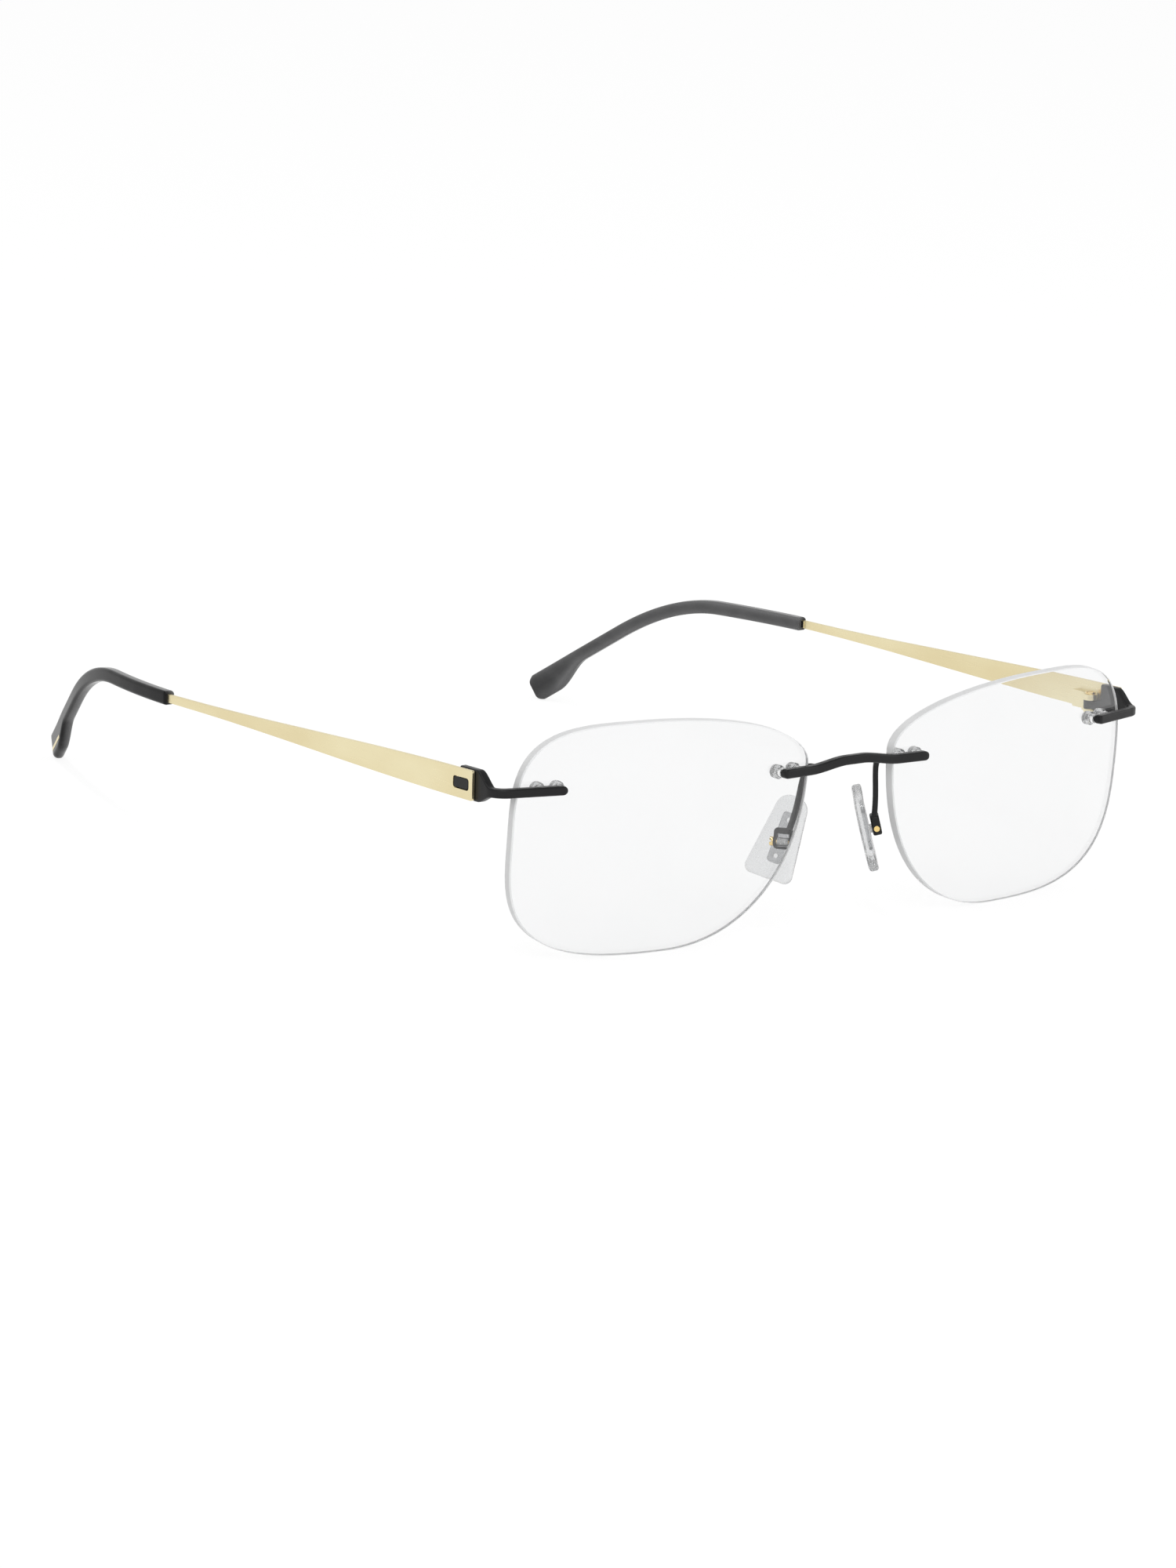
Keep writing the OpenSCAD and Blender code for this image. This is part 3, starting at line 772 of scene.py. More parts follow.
@dataclass
class Lens(Piece):
    """A drilled lens: a shell between two spheres, cut to its outline."""

    node: str = "lens"
    name: str = "lens_glass"
    body: Body = Body.FRONT
    finish: Finish = LENS
    angle: float = 25
    wide: float = 56
    high: float = 39
    thick: float = 1.6
    radius: float = 150
    gap: float = 17.9
    wrap: float = 6.2
    lean: float = 5.3
    corner_powers: tuple[float, float, float, float] = (3.5, 2, 2.2, 3.16)
    peak_x: float = 5
    foot_x: float = -1
    outer_z: float = 0.5
    nose_z: float = 9.5
    chamfer: float = 0.16
    chamfer_sink: float = 0.12
    hole: float = 1.54
    hole_span: Pair = (-3, 5)
    post: float = 0.9
    post_pitch: float = 3.4
    post_span: Pair = (-0.87, 2.5)
    lugs: tuple[Pair, ...] = ((58.7725, 9.75), (12.9, 8.7))
    lug_turn: float = 15.2619
    steps: int = 60
    rim_rings: int = 4
    spread: tuple[float, ...] = (0.02, 0.1, 0.22, 0.36, 0.5, 0.64, 0.76, 0.86, 0.93, 0.975)

    @property
    def middle_x(self) -> float:
        """Distance of the lens's middle from the middle plane."""
        half, turn = self.wide / 2, math.radians(self.wrap)
        return self.gap / 2 + half * math.cos(turn) + half * half / (2 * self.radius) * math.sin(turn)

    @property
    def place(self) -> Matrix:
        """Takes the lens's own frame to the wearing frame."""
        return (Matrix.Translation((self.middle_x, 0, 0))
                @ Matrix.Rotation(math.radians(self.wrap), 4, "Z")
                @ Matrix.Rotation(math.radians(self.lean), 4, "X"))

    @property
    def centre(self) -> Vector:
        """Centre of the two spheres in the wearing frame."""
        return self.place @ Vector((0, self.radius, 0))

    def outline(self) -> list[Pair]:
        """Outline of the lens, a quarter of a rounded square at a time.

        Returns:
            Its points in the lens's own frame.
        """
        w, h = self.wide / 2, self.high / 2
        middles = ((self.peak_x, self.outer_z), (self.peak_x, self.nose_z),
                   (self.foot_x, self.nose_z), (self.foot_x, self.outer_z))
        points = []
        for k, ((mx, mz), power) in enumerate(zip(middles, self.corner_powers)):
            sx, sz = (1, -1, -1, 1)[k], (1, 1, -1, -1)[k]
            rx, rz = w - sx * mx, h - sz * mz
            for step in range(self.steps):
                a = math.radians(90 * (k + step / self.steps))
                c, s = math.cos(a), math.sin(a)
                r = ((abs(c) / rx) ** power + (abs(s) / rz) ** power) ** (-1 / power)
                points.append((mx + r * c, mz + r * s))
        return points

    def depth(self, x: float, z: float, back: bool) -> float:
        """Distance of the front or back surface behind the lens's front middle."""
        r = self.radius - (self.thick if back else 0)
        return self.radius - math.sqrt(r * r - x * x - z * z)

    def front(self, x: float, z: float) -> float:
        """Depth of the front surface in the wearing frame."""
        c = self.centre
        return c.y - math.sqrt(self.radius ** 2 - (x - c.x) ** 2 - (z - c.z) ** 2)

    def rings(self) -> list[Ring]:
        """Rings from the front's middle over the rim to the back's middle.

        Returns:
            The rings, in metres.
        """
        outline, to_table = self.outline(), self.to_table @ self.place
        edge = 1 - self.chamfer / (self.high / 2)
        plan = [(s, False, 0.0) for s in (*self.spread, edge)]
        plan += [(1, False, self.chamfer_sink), (1, True, -self.chamfer_sink)]
        plan += [(s, True, 0.0) for s in (edge, *reversed(self.spread))]
        return [[to_table @ Vector((x * s, self.depth(x * s, z * s, back) + sink, z * s))
                 for x, z in outline] for s, back, sink in plan]

    def rods(self, lug: Lug, thick: float, span: Pair) -> list[bpy.types.Object]:
        """Two round rods through the holes of one lug, as posts or as drills.

        Args:
            lug: The lug.
            thick: Diameter of the rods.
            span: Where they start and end, behind the lens's front.

        Returns:
            The rods.
        """
        x, z = self.lugs[lug.value]
        turn = math.radians(self.lug_turn)
        if lug is Lug.NASAL:
            turn = math.asin((x - self.centre.x) / self.radius)
        place = (self.to_table @ Matrix.Translation((x, self.front(x, z), z))
                 @ Matrix.Rotation(turn, 4, "Z"))
        return [rod(thick, span, place, k * self.post_pitch) for k in (-0.5, 0.5)]

    def posts(self, lug: Lug) -> list[bpy.types.Object]:
        """The two posts of one lug."""
        return self.rods(lug, self.post, self.post_span)

    def model(self) -> bpy.types.Object:
        """Draws the shell, marks its rim as ground and drills it.

        Returns:
            The lens.
        """
        obj = skin(self.prefix + self.name, self.rings())
        count, first = len(self.corner_powers) * self.steps, len(self.spread)
        rim = set(range(first, first + self.rim_rings))
        for face in obj.data.polygons:
            bands = {v // count for v in face.vertices}
            face.material_index = int(bands <= rim and len(bands) == 2)
        for lug in Lug:
            Boolean.CUT.work(obj, *self.rods(lug, self.hole, self.hole_span))
        return obj

    def dress(self, obj: bpy.types.Object) -> tuple[Finish, ...]:
        """Finishes of the polished faces and of the ground rim."""
        return self.finish, LENS_EDGE


@dataclass
class TempleTip(Piece):
    """The tip over the temple's wire: a bar that bends behind the ear and ends in a paddle."""

    node: str = "tip"
    name: str = "tip_sleeve"
    body: Body = Body.TEMPLE
    finish: Finish = ACETATE
    plate_x: float = 69.1975
    line_z: float = 10.3
    mouth_y: float = 94.5182
    bend_y: float = 125.0182
    end_y: float = 152.5182
    drop: float = 34.5
    drop_run: float = 21
    inward: float = 22.3
    inward_run: float = 49
    inward_lead: float = 12.4
    high: float = 2.4
    thick: float = 2
    corner: float = 0.55
    corner_most: float = 0.48
    corner_steps: int = 8
    side_stops: tuple[float, ...] = (0.25, 0.5, 0.75)
    paddle: float = 2.6
    paddle_long: float = 3.8
    paddle_run: float = 6.2
    paddle_round: float = 0.35
    lip_long: float = 0.6
    lip_share: float = 0.8
    lip_stops: tuple[float, ...] = (0, 0.04, 0.12, 0.25, 0.42)
    nose_long: float = 0.9
    nose_share: float = 0.62
    nose_power: float = 0.45
    nose_stops: tuple[float, ...] = (0.7, 0.5, 0.32, 0.18, 0.08, 0.02, 0)
    rings_along: int = 90
    recess: Point = (0.89, 1.57, 0.5)
    recess_corner: float = 0.2
    recess_steps: int = 4
    # Painted shade of the wire across the tip's middle height and of the strip over the paddle
    painted_wire_shade: float = 0.5
    painted_paddle_shade: float = 0.25

    @staticmethod
    def ramp(t: float, run: float) -> float:
        """Zero, then a parabola, then a straight slope of 1.

        Args:
            t: Distance from the parabola's middle.
            run: Length of the parabola.

        Returns:
            Height of the ramp.
        """
        if t < -run / 2:
            return 0
        return (t + run / 2) ** 2 / (2 * run) if t < run / 2 else t

    def at(self, y: float) -> Vector:
        """Point of the middle line at a distance along the temple.

        Args:
            y: The distance.

        Returns:
            The point.
        """
        inward = self.ramp(y - self.bend_y + self.inward_lead, self.inward_run)
        drop = self.ramp(y - self.bend_y, self.drop_run)
        return Vector((self.plate_x - math.tan(math.radians(self.inward)) * inward, y,
                       self.line_z - math.tan(math.radians(self.drop)) * drop))

    def swell(self, y: float) -> float:
        """Share of the full section near the mouth and the end, which are rounded.

        Args:
            y: Distance along the temple.

        Returns:
            The share, up to 1.
        """
        mouth, end = (min(1, max(0, t)) for t in ((y - self.mouth_y) / self.lip_long,
                                                  (self.end_y - y) / self.nose_long))
        lip = self.lip_share + (1 - self.lip_share) * math.sqrt(1 - (1 - mouth) ** 2)
        return lip * (self.nose_share + (1 - self.nose_share) * end ** self.nose_power)

    def flare(self, y: float) -> float:
        """Share of the paddle's full extra height at a distance along the temple."""
        return ease((y - self.end_y + self.paddle_long + self.paddle_run) / self.paddle_run)

    def flank(self, a: Pair, b: Pair) -> list[Pair]:
        """Points on a flat side of the section, between its two ends."""
        return [(a[0] + (b[0] - a[0]) * t, a[1] + (b[1] - a[1]) * t) for t in self.side_stops]

    def ring(self, y: float) -> Ring:
        """Section of the tip at a distance along the temple.

        Args:
            y: The distance.

        Returns:
            The section's points, in metres.
        """
        flare, share = self.flare(y), self.swell(y)
        extra = self.paddle * flare
        corner = min(self.corner + self.paddle_round * flare, self.corner_most * self.thick * share)
        box = rounded_box(self.thick * share, (self.high + extra) * share, corner,
                          self.corner_steps, extra / 2)
        half = len(box) // 2
        section = [*box[:half], *self.flank(box[half - 1], box[half]), *box[half:],
                   *self.flank(box[-1], box[0])]
        return [self.to_table @ p for p in across(section, self.at(y), heading(self.at, y))]

    def model(self) -> bpy.types.Object:
        """Draws the tip and cuts the recess in its mouth.

        Returns:
            The tip.
        """
        long = self.end_y - self.mouth_y - (self.lip_long + self.nose_long)
        stops = [self.mouth_y + y for y in self.lip_stops]
        stops += [self.mouth_y + self.lip_long + long * k / self.rings_along
                  for k in range(self.rings_along + 1)]
        stops += [self.end_y - y for y in self.nose_stops]
        obj = skin(self.prefix + self.name, [self.ring(y) for y in stops])
        wide, high, deep = self.recess
        box = rounded_box(wide, high, self.recess_corner, self.recess_steps)
        Boolean.CUT.work(obj, skin("mouth", [
            [self.to_table @ Vector((self.plate_x + p, self.mouth_y + y, self.line_z + q)) for p, q in box]
            for y in (-CLEAR, deep)]))
        return obj

    def dress(self, obj: bpy.types.Object) -> tuple[Finish, ...]:
        """Writes painted light for the finish: how far towards the head each point lies, 0 outside and 1
        inside, as painted shade outside and painted light shining through inside.

        The wire in the middle of the tip and the strip in the paddle show through as painted shade.

        Args:
            obj: The tip.

        Returns:
            Its one finish.
        """
        from_table = self.to_table.inverted()
        layer = obj.data.attributes.new(PAINTED_LIGHT, "FLOAT", "POINT")
        for vert, entry in zip(obj.data.vertices, layer.data):
            where = from_table @ vert.co
            centre, flare = self.at(where.y), self.flare(where.y)
            extra = self.paddle * flare
            level = heading(self.at, where.y).y
            height = ((where.z - centre.z) * level + extra / 2) / (self.high + extra) * 2
            # Painted shade of the wire and the strip, taken off the painted light towards the head
            shade = self.painted_wire_shade * max(0, 1 - height * height) + self.painted_paddle_shade * flare
            entry.value = ease(0.5 + (centre.x - where.x) / self.thick) * (1 - shade)
        return (self.finish,)


@dataclass
class NosePad(Piece):
    """A soft pad: a crowned drop shape with a pocket for the insert in its back."""

    node: str = "nose_pad"
    name: str = "pad_silicone"
    body: Body = Body.PAD
    finish: Finish = PAD
    angle: float = 35
    pivot: Point = (10.35, 4.1, -4)
    splay: float = 52
    lean: float = 14
    slant: float = 16
    shift: Point = (0.5, 2.1, 0.7)
    high: float = 14.2
    foot: float = 8.7
    head: float = 5.9
    thick: float = 1.6
    foot_round: float = 1.3
    head_round: float = 2.3
    bow: float = 0.3
    flat_stops: tuple[float, ...] = (0.04, 0.3, 0.6, 0.85)
    bulge: tuple[Pair, ...] = ((0.5, 0), (0.28, 0.06), (0.12, 0.16), (0.03, 0.3), (0, 0.48))
    pocket: Point = (2.44, 8.64, 0.62)
    pocket_corner: float = 0.62
    pocket_steps: int = 6
    points: int = 96

    @property
    def hinge(self) -> Matrix:
        """Takes the frame of the cross screw, with X along the screw, to the wearing frame."""
        return (Matrix.Translation(self.pivot) @ Matrix.Rotation(math.radians(self.splay), 4, "Z")
                @ Matrix.Rotation(math.radians(-self.lean), 4, "X"))

    @property
    def place(self) -> Matrix:
        """Takes the pad's own frame, with Z towards its back, to the wearing frame."""
        return (self.hinge @ Matrix.Translation(self.shift)
                @ Matrix.Rotation(math.radians(-self.slant), 4, "Y")
                @ Matrix.Rotation(math.radians(90), 4, "X"))

    def bore(self, thick: float, span: Pair) -> bpy.types.Object:
        """Drill along the cross screw, with a diameter and a span."""
        return rod(thick, span, self.to_table @ self.hinge @ ALONG_X)

    def outline(self, inset: float) -> list[Pair]:
        """Outline round the four corner circles.

        Args:
            inset: Distance by which it is drawn in.

        Returns:
            Its points in the pad's own frame.
        """
        f, h = self.foot_round, self.head_round
        rounds = ((self.foot / 2 - f, f - self.high / 2, f), (f - self.foot / 2, f - self.high / 2, f),
                  (h - self.head / 2, self.high / 2 - h, h), (self.head / 2 - h, self.high / 2 - h, h))
        points = []
        for k in range(self.points):
            a = -math.tau * k / self.points
            u, v = math.cos(a), math.sin(a)
            x, y, r = max(rounds, key=lambda c: c[0] * u + c[1] * v + c[2])
            points.append((x + (r - inset) * u, y + (r - inset) * v))
        return points

    def model(self) -> bpy.types.Object:
        """Draws the pad and cuts the pocket in its back.

        Returns:
            The pad.
        """
        to_table = self.to_table @ self.place
        face, inmost = self.thick / 2, self.bulge[0][0]
        plan = [(inmost, share, -face) for share in self.flat_stops]
        plan += [(inset, 1, sink - face) for inset, sink in self.bulge]
        plan += [(inset, 1, face - sink) for inset, sink in reversed(self.bulge)]
        plan += [(inmost, share, face) for share in reversed(self.flat_stops)]
        obj = skin(self.prefix + self.name, [
            [to_table @ Vector((x * share, y * share, z + self.bow * (2 * y * share / self.high) ** 2))
             for x, y in self.outline(inset)] for inset, share, z in plan])
        wide, high, deep = self.pocket
        box = rounded_box(wide, high, self.pocket_corner, self.pocket_steps)
        Boolean.CUT.work(obj, skin("pocket", [[to_table @ Vector((p, q, z)) for p, q in box]
                                              for z in (face - deep, face + CLEAR)]))
        return obj


@dataclass
class Bridge(Piece):
    """The bridge: a bar with a slight arch over both lenses, with two posts a side."""

    side: Side | None = None
    node: str = "bridge"
    name: str = "bridge_bar"
    body: Body = Body.FRONT
    finish: Finish = BLACK
    reach: float = 15.45
    level: float = 8.7
    rise: float = 0.9
    arch: Pair = (9.5, 1.5)
    deep: float = 1.5
    high: float = 1.55
    seat: float = 0.12
    soft: float = 0.6
    nose: BarNose = BarNose(0.8)
    steps: int = 110

    def at(self, x: float) -> Vector:
        """Point of the bar's middle line.

        Args:
            x: Distance from the middle plane.

        Returns:
            The point.
        """
        edge, far = Lens.gap / 2, abs(x)
        over = edge + self.soft * math.log1p(math.exp((far - edge) / self.soft))
        lift = self.rise * ease((self.arch[0] - far) / (self.arch[0] - self.arch[1]))
        front = Lens(Side.LEFT).front(over, self.level)
        return Vector((x, front - self.seat - self.deep / 2, self.level + lift))

    def ring(self, x: float) -> Ring:
        """Section of the bar at a distance from the middle plane, in metres."""
        section = self.nose.section(self.deep, self.high, self.reach - abs(x))
        return [self.to_table @ p for p in across(section, self.at(x), heading(self.at, x))]

    def model(self) -> bpy.types.Object:
        """Draws the bar and joins the posts.

        Returns:
            The bridge.
        """
        half = self.reach - self.nose.long
        stops = [s - self.reach for s in self.nose.stops()]
        stops += [half * (2 * k / self.steps - 1) for k in range(1, self.steps)]
        stops += [self.reach - s for s in reversed(self.nose.stops())]
        obj = skin(self.name, [self.ring(x) for x in stops])
        for side in Side:
            Boolean.JOIN.work(obj, *Lens(side).posts(Lug.NASAL))
        return obj


@dataclass
class PadArm(Piece):
    """A pad arm: a flat wire from the bridge's back down to an open box with rounded edges."""

    node: str = "pad_arm"
    name: str = "pad_wire"
    body: Body = Body.FRONT
    finish: Finish = BLACK
    root_x: float = 7.5
    sunk: float = 0.3
    out: Point = (0.5, 5.0, 0.3)
    down: Point = (-3.5, -2.1, 8.9)
    end: Point = (-0.85, 0, 2)
    wire: Pair = (1, 0.9)
    wire_corner: float = 0.25
    wire_steps: int = 4
    wire_rings: int = 48
    wire_nudge: float = 0.01
    box: Point = (3.1, 1.5, 3.5)
    box_middle: float = 0.55
    box_corner: float = 0.7
    box_steps: int = 8
    rounding: tuple[Pair, ...] = ((0.3, 0), (0.15, 0.05), (0.05, 0.15), (0, 0.32))
    window: tuple[Point, Point] = ((-1.05, -2, -0.8), (1.05, 2, 1.3))
    hole: float = 1.04
    hole_span: Pair = (-3, 3)

    def strap(self) -> bpy.types.Object:
        """The flat wire, along a curve of four points.

        Returns:
            The wire.
        """
        bridge, hinge = Bridge(), NosePad(self.side).hinge
        root = bridge.at(self.root_x) + Vector((0, bridge.deep / 2, 0))
        knots = (root - Vector((0, self.sunk, 0)), root + Vector(self.out),
                 hinge @ Vector(self.down), hinge @ Vector(self.end))
        thin = hinge.to_3x3() @ BACK
        section = rounded_box(*self.wire, self.wire_corner, self.wire_steps)

        def at(t: float) -> Vector:
            """Point of the curve, with t from 0 to 1."""
            shares = ((1 - t) ** 3, 3 * t * (1 - t) ** 2, 3 * t * t * (1 - t), t ** 3)
            return sum((knot * share for knot, share in zip(knots, shares)), Vector())

        rings = []
        for k in range(self.wire_rings + 1):
            t = k / self.wire_rings
            along = heading(at, t, self.wire_nudge) if k else BACK
            rings.append([self.to_table @ p for p in across(section, at(t), along, thin)])
        return skin("strap", rings)

    def model(self) -> bpy.types.Object:
        """Draws the box, joins the wire, and cuts the window and the screw's hole.

        Returns:
            The arm.
        """
        pad = NosePad(self.side)
        on_screw = self.to_table @ pad.hinge
        wide, deep, high = self.box
        plan = [(inset, sink - deep / 2) for inset, sink in self.rounding]
        plan += [(inset, deep / 2 - sink) for inset, sink in reversed(self.rounding)]
        obj = skin(self.prefix + self.name, [
            [on_screw @ Vector((p, y, q)) for p, q in rounded_box(
                wide - 2 * inset, high - 2 * inset, self.box_corner - inset, self.box_steps,
                -self.box_middle)] for inset, y in plan])
        Boolean.JOIN.work(obj, self.strap())
        Boolean.CUT.work(obj, block(*self.window, on_screw), pad.bore(self.hole, self.hole_span))
        return obj


@dataclass
class CopiedPiece(Piece):
    """A piece whose CAD shape is right: its facets are smoothed and its edges broken."""

    broken_edge: float = 0

    def trim(self, obj: bpy.types.Object) -> None:
        """Reshapes the copy before its edges are broken, where a kind of piece needs it."""

    def model(self) -> bpy.types.Object:
        """Copies the CAD node, trims the copy and breaks its edges.

        Returns:
            The copy.
        """
        obj = cad_copy(self.prefix + self.node, self.prefix + self.name)
        self.trim(obj)
        if self.broken_edge:
            apply(obj, "BEVEL", width=self.broken_edge * MM, segments=BEVEL_SEGMENTS,
                  limit_method="ANGLE", angle_limit=math.radians(self.angle), use_clamp_overlap=True)
        return obj


@dataclass
class PadScrew(CopiedPiece):
    """The cross screw of a pad, with a drilled end."""

    drill: float = 0.5
    drill_span: Pair = (-2, -0.6)

    def trim(self, obj: bpy.types.Object) -> None:
        """Drills the screw's end."""
        Boolean.CUT.work(obj, NosePad(self.side).bore(self.drill, self.drill_span))


@dataclass
class Endpiece(CopiedPiece):
    """The endpiece: a fine bar, bend and tab, joined to the CAD's tongue and boss."""

    lug: float = 8.4
    bar: Pair = (1.5, 1.5)
    tab: Pair = (1.42, 5.2)
    levels: Pair = (9.75, 10.3)
    seat: float = 0.12
    edge_x: float = 64.6225
    tab_x: float = 68.1225
    tab_face: float = 68.8235
    tab_end: float = 13.9232
    tab_long: float = 6.9
    tab_over: float = 0.06
    bend: float = 2.6
    flare: Pair = (0.73, 2.6)
    nose: BarNose = BarNose(0.85)
    bar_rings: int = 4
    bend_rings: int = 44
    tab_rings: int = 4
    tab_first: int = 2
    saw_low: Point = (40, -10, 0)
    saw_top: float = 20
    boss_x: Pair = (60, 75)
    boss_y: float = 10.6

    @property
    def first(self) -> float:
        """Direction of the bar, in radians from straight across the face."""
        return math.radians(Lens.lug_turn)

    @property
    def curved(self) -> float:
        """Length of the bend."""
        return self.bend * (math.pi / 2 - self.first)

    def ring(self, s: float, start: Vector, straight: float) -> Ring:
        """Section of the endpiece at a distance along its path.

        Args:
            s: The distance.
            start: Start of the path, at the bar's nose.
            straight: Length of the bar before the bend.

        Returns:
            The section's points, in metres.
        """
        first, curved = self.first, self.curved
        turn = min(math.pi / 2, first + max(0, s - straight) / self.bend)
        where = start + Vector((math.cos(first), math.sin(first), 0)) * min(s, straight)
        where += self.bend * Vector((math.sin(turn) - math.sin(first),
                                     math.cos(first) - math.cos(turn), 0))
        where.y += max(0, s - straight - curved)
        begin, end = straight + self.flare[0] * curved, straight + curved + self.flare[1]
        share = ease((s - begin) / (end - begin))
        deep, high = (a + (b - a) * share for a, b in zip(self.bar, self.tab))
        where.z = self.levels[0] + (self.levels[1] - self.levels[0]) * share
        side = Vector((math.sin(turn), -math.cos(turn), 0))
        return [self.to_table @ (where + side * p + UP * q)
                for p, q in self.nose.section(deep, high, s)]

    def skin(self) -> bpy.types.Object:
        """The bar, the bend and the tab as one closed skin.

        Returns:
            The skin.
        """
        c, s = math.cos(self.first), math.sin(self.first)
        along, out = Vector((c, s, 0)), Vector((s, -c, 0))
        middle_x = self.edge_x - self.lug / 2
        middle = Vector((middle_x, Lens(self.side).front(middle_x, self.levels[0]), 0))
        start = middle + out * (self.seat + self.bar[0] / 2) - along * self.lug / 2
        straight = (self.tab_x - self.bend + self.bend * s - start.x) / along.x
        bent, nose = straight + self.curved, self.nose.long
        stops = self.nose.stops()
        stops += [nose + (straight - nose) * k / self.bar_rings for k in range(1, self.bar_rings + 1)]
        stops += [straight + (self.curved + self.flare[1]) * k / self.bend_rings
                  for k in range(1, self.bend_rings + 1)]
        stops += [bent + self.tab_long * k / self.tab_rings + self.tab_over
                  for k in range(self.tab_first, self.tab_rings + 1)]
        return skin("path", [self.ring(stop, start, straight) for stop in stops])

    def trim(self, obj: bpy.types.Object) -> None:
        """Saws the copy down to its tongue and boss, and joins the fine skin and the posts.

        Args:
            obj: The copy.
        """
        low, high = self.boss_x
        Boolean.CUT.work(
            obj, block(self.saw_low, (self.tab_face, self.tab_end, self.saw_top), self.to_table),
            block((low, *self.saw_low[1:]), (high, self.boss_y, self.saw_top), self.to_table))
        Boolean.JOIN.work(obj, self.skin(), *Lens(self.side).posts(Lug.TEMPORAL))


@dataclass
class HingePart(CopiedPiece):
    """A part of the hinge, cut off below so that it stays behind the temple's plate."""

    hinge: Pair = (67.4725, 16.5182)
    room: Point = (4, 5, 8)
    foot: float = 7.75
    plate_foot: float = 8.05
    plate_gap: float = 0.75

    def trim(self, obj: bpy.types.Object) -> None:
        """Cuts the lower end off, and a little more beside the plate.

        Args:
            obj: The copy.
        """
        x, y = self.hinge
        aside, before, behind = self.room
        Boolean.CUT.work(obj, *(
            block((start, y - before, 0), (x + aside, y + behind, top), self.to_table)
            for start, top in ((x - aside, self.foot), (x + self.plate_gap, self.plate_foot))))


@dataclass
class TemplePlate(CopiedPiece):
    """The temple's plate, whose wire inside the tip is bare steel."""

    def dress(self, obj: bpy.types.Object) -> tuple[Finish, ...]:
        """Gives the faces behind the tip's mouth to the wire.

        Args:
            obj: The piece.

        Returns:
            The plate's finish and the wire's.
        """
        mouth = (self.to_table @ Vector((0, TempleTip.mouth_y, TempleTip.line_z))).y
        for face in obj.data.polygons:
            face.material_index = int(face.center.y > mouth)
        return self.finish, WIRE


@dataclass
class PadInsert(CopiedPiece):
    """The pad's insert, frosted on its flat faces, clear round its edges and milky on its stud."""

    proud: float = 0.06
    flat: float = 0.9

    def dress(self, obj: bpy.types.Object) -> tuple[Finish, ...]:
        """Gives the stud, and every face that is not flat along the pad, a finish of its own.

        Args:
            obj: The piece.

        Returns:
            The finishes of the flat faces, the edges and the stud.
        """
        place = self.to_table @ NosePad(self.side).place
        through = (place.to_3x3() @ UP).normalized()
        to_pad = place.inverted()
        for face in obj.data.polygons:
            on_stud = (to_pad @ face.center).z > NosePad.thick / 2 + self.proud
            face.material_index = 2 if on_stud else int(abs(face.normal.dot(through)) < self.flat)
        return self.finish, INSERT_EDGE, INSERT_STUD


def pieces(side: Side) -> tuple[Piece, ...]:
    """All pieces of one side.

    Args:
        side: The side.

    Returns:
        The pieces, in the order of building.
    """
    return (
        Lens(side), TempleTip(side), NosePad(side), PadArm(side),
        Endpiece(side, "endpiece", "endpiece_bar", Body.FRONT, BLACK),
        CopiedPiece(side, "temporal_sleeve", "temporal_bushing", Body.FRONT, SLEEVE),
        CopiedPiece(side, "nasal_sleeve", "nasal_bushing", Body.FRONT, SLEEVE),
        PadScrew(side, "pad_screw", "pad_cross_screw", Body.FRONT, BRIGHT_GOLD, 35, 0.06),
        PadInsert(side, "pad_insert", "pad_core_plate", Body.PAD, INSERT, 35, 0.05),
        HingePart(side, "hinge_fork", "hinge_knuckles", Body.TEMPLE, GOLD, 35, 0.08),
        HingePart(side, "hinge_screw", "hinge_pin", Body.TEMPLE, BRIGHT_GOLD, 35, 0.05,
                  foot=7.78, plate_foot=7.78),
        TemplePlate(side, "temple", "temple_plate", Body.TEMPLE, GOLD, 30, 0.12),
        CopiedPiece(side, "tip_strip", "paddle_strip", Body.TEMPLE, GOLD),
    )


# Studio, in metres


@dataclass(frozen=True)
class Softbox:
    """A soft lamp that points at the middle of the glasses."""

    name: str
    place: Point
    size: Pair
    watts: float
    aim: Point = (0, 0, 0.02)

    def build(self) -> None:
        """Hangs the lamp."""
        lamp = bpy.data.lights.new(self.name, "AREA")
        lamp.shape = "RECTANGLE"
        lamp.size, lamp.size_y = self.size
        lamp.energy = self.watts
        obj = bpy.data.objects.new(self.name, lamp)
        obj.location = self.place
        away = Vector(self.aim) - Vector(self.place)
        obj.rotation_euler = away.to_track_quat("-Z", "Y").to_euler()
        bpy.context.scene.collection.objects.link(obj)


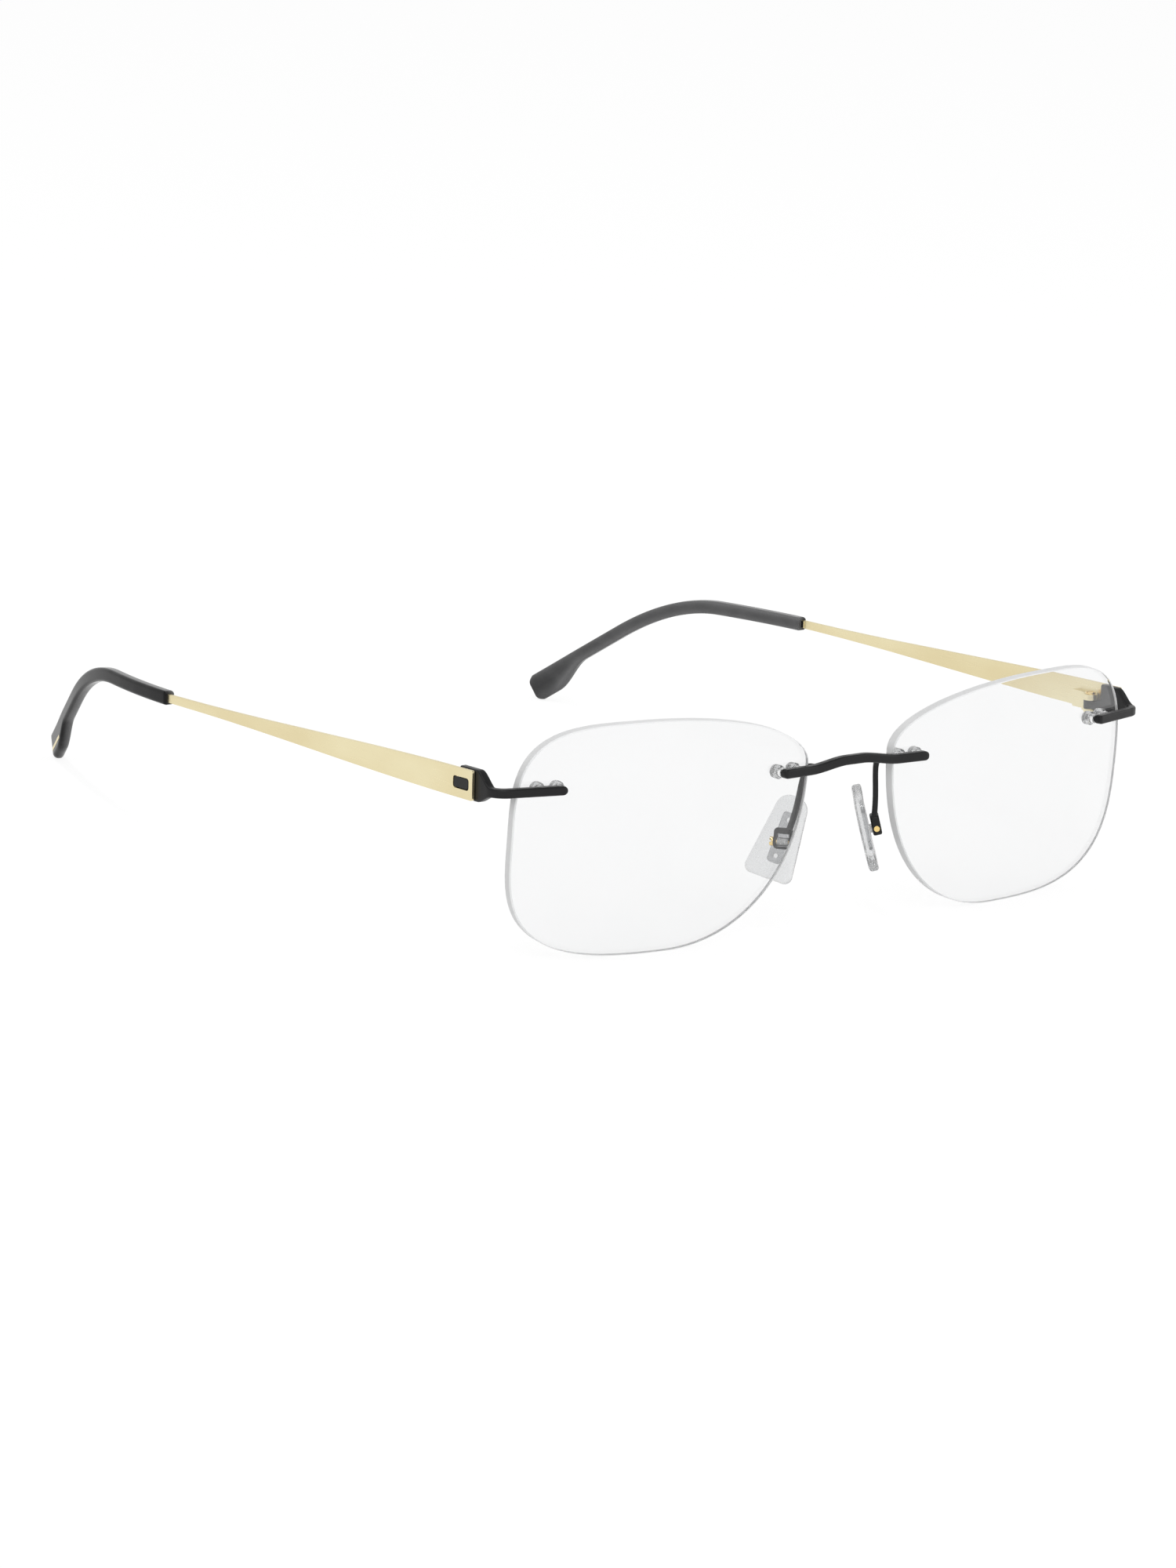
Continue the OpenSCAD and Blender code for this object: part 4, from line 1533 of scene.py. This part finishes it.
@dataclass(frozen=True)
class Studio:
    """White floor and background, soft lamps and the camera at the photograph's angle."""

    azimuth: float = -38.792
    elevation: float = 14.014
    roll: float = 3.509
    place: Point = (-0.739702, -0.927502, 0.303426)
    focal: float = 163.077
    sensor: float = 36
    clip: Pair = (0.05, 50)
    floor_size: float = 30
    floor_cells: int = 8
    floor_colour: tuple[float, float, float, float] = (0.8, 0.8, 0.8, 1)
    floor_glow: float = 1.09
    floor_shade: float = 0.2
    sky_heights: Pair = (0.3, 0.75)
    sky_strengths: Pair = (1.0, 0.42)
    lamps: tuple[Softbox, ...] = (
        Softbox("key", (-0.55, -0.75, 0.9), (0.6, 0.6), 3.0),
        Softbox("fill", (0.9, -0.5, 0.5), (0.5, 0.7), 1.6),
        Softbox("strip", (-0.15, 0.05, 0.9), (1.0, 0.05), 2.2),
    )

    def camera(self) -> None:
        """Sets the camera up."""
        a, e, r = (math.radians(v) for v in (self.azimuth, self.elevation, self.roll))
        back = Vector((math.sin(a) * math.cos(e), -math.cos(a) * math.cos(e), math.sin(e)))
        right = Vector((math.cos(a), math.sin(a), 0))
        up = back.cross(right)
        axes = (math.cos(r) * right + math.sin(r) * up, math.cos(r) * up - math.sin(r) * right, back)
        data = bpy.data.cameras.new("camera")
        data.lens, data.sensor_width = self.focal, self.sensor
        data.clip_start, data.clip_end = self.clip
        obj = bpy.data.objects.new("camera", data)
        obj.matrix_world = Matrix.Translation(self.place) @ Matrix(axes).transposed().to_4x4()
        bpy.context.scene.collection.objects.link(obj)
        bpy.context.scene.camera = obj

    @staticmethod
    def seen(sheet: Sheet) -> bpy.types.Node:
        """Tests for rays that show the background: straight, mirrored or through glass.

        Args:
            sheet: Node sheet that takes the test.

        Returns:
            The node whose output is 1 for such a ray.
        """
        path = sheet.add("ShaderNodeLightPath")
        total, output = path, "Is Camera Ray"
        for name in ("Is Glossy Ray", "Is Transmission Ray"):
            most = sheet.add("ShaderNodeMath")
            most.operation = "MAXIMUM"
            sheet.link(total, output, most, 0)
            sheet.link(path, name, most, 1)
            total, output = most, 0
        return total

    def floor(self) -> None:
        """Lays a wide pale floor that keeps the glasses' shadow."""
        bpy.ops.object.select_all(action="DESELECT")
        bpy.ops.mesh.primitive_grid_add(x_subdivisions=self.floor_cells,
                                        y_subdivisions=self.floor_cells, size=self.floor_size)
        obj = bpy.context.object
        obj.name = "floor"
        material = bpy.data.materials.new("floor_white")
        material.use_nodes = True
        material.node_tree.nodes.clear()
        sheet = Sheet(material.node_tree)
        out = sheet.add("ShaderNodeOutputMaterial")
        plain = sheet.add("ShaderNodeBsdfDiffuse", Color=self.floor_colour)
        glow = sheet.add("ShaderNodeEmission", Strength=self.floor_glow)
        pale = sheet.add("ShaderNodeMixShader", Fac=self.floor_shade)
        mix = sheet.add("ShaderNodeMixShader")
        for a, b, socket in ((glow, pale, 1), (plain, pale, 2), (self.seen(sheet), mix, 0),
                             (plain, mix, 1), (pale, mix, 2), (mix, out, "Surface")):
            sheet.link(a, 0, b, socket)
        obj.data.materials.append(material)

    def world(self) -> None:
        """White at the horizon and below, greyer overhead, as in a room with a white sweep."""
        world = bpy.data.worlds.new("studio")
        bpy.context.scene.world = world
        world.use_nodes = True
        sheet = Sheet(world.node_tree)
        background = world.node_tree.nodes["Background"]
        where = sheet.add("ShaderNodeTexCoord")
        split = sheet.add("ShaderNodeSeparateXYZ")
        (low, high), (below, above) = self.sky_heights, self.sky_strengths
        fade = sheet.add("ShaderNodeMapRange", From_Min=low, From_Max=high, To_Min=below, To_Max=above)
        fade.interpolation_type = "SMOOTHSTEP"
        sheet.fill(background, Color=WHITE)
        sheet.link(where, "Generated", split, 0)
        sheet.link(split, "Z", fade, "Value")
        sheet.link(fade, "Result", background, "Strength")

    def build(self) -> None:
        """Sets the whole studio up."""
        bpy.context.scene.view_settings.view_transform = "Standard"
        self.camera()
        self.world()
        self.floor()
        for lamp in self.lamps:
            lamp.build()


def main() -> None:
    """Builds the glasses and the studio."""
    logging.basicConfig(level=logging.INFO, format="%(message)s")
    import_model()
    made = [Bridge(), *pieces(Side.LEFT), *pieces(Side.RIGHT)]
    for piece in made:
        piece.build()
    Studio().build()
    LOG.info("%d pieces", len(made))


if __name__ == "__main__":
    main()
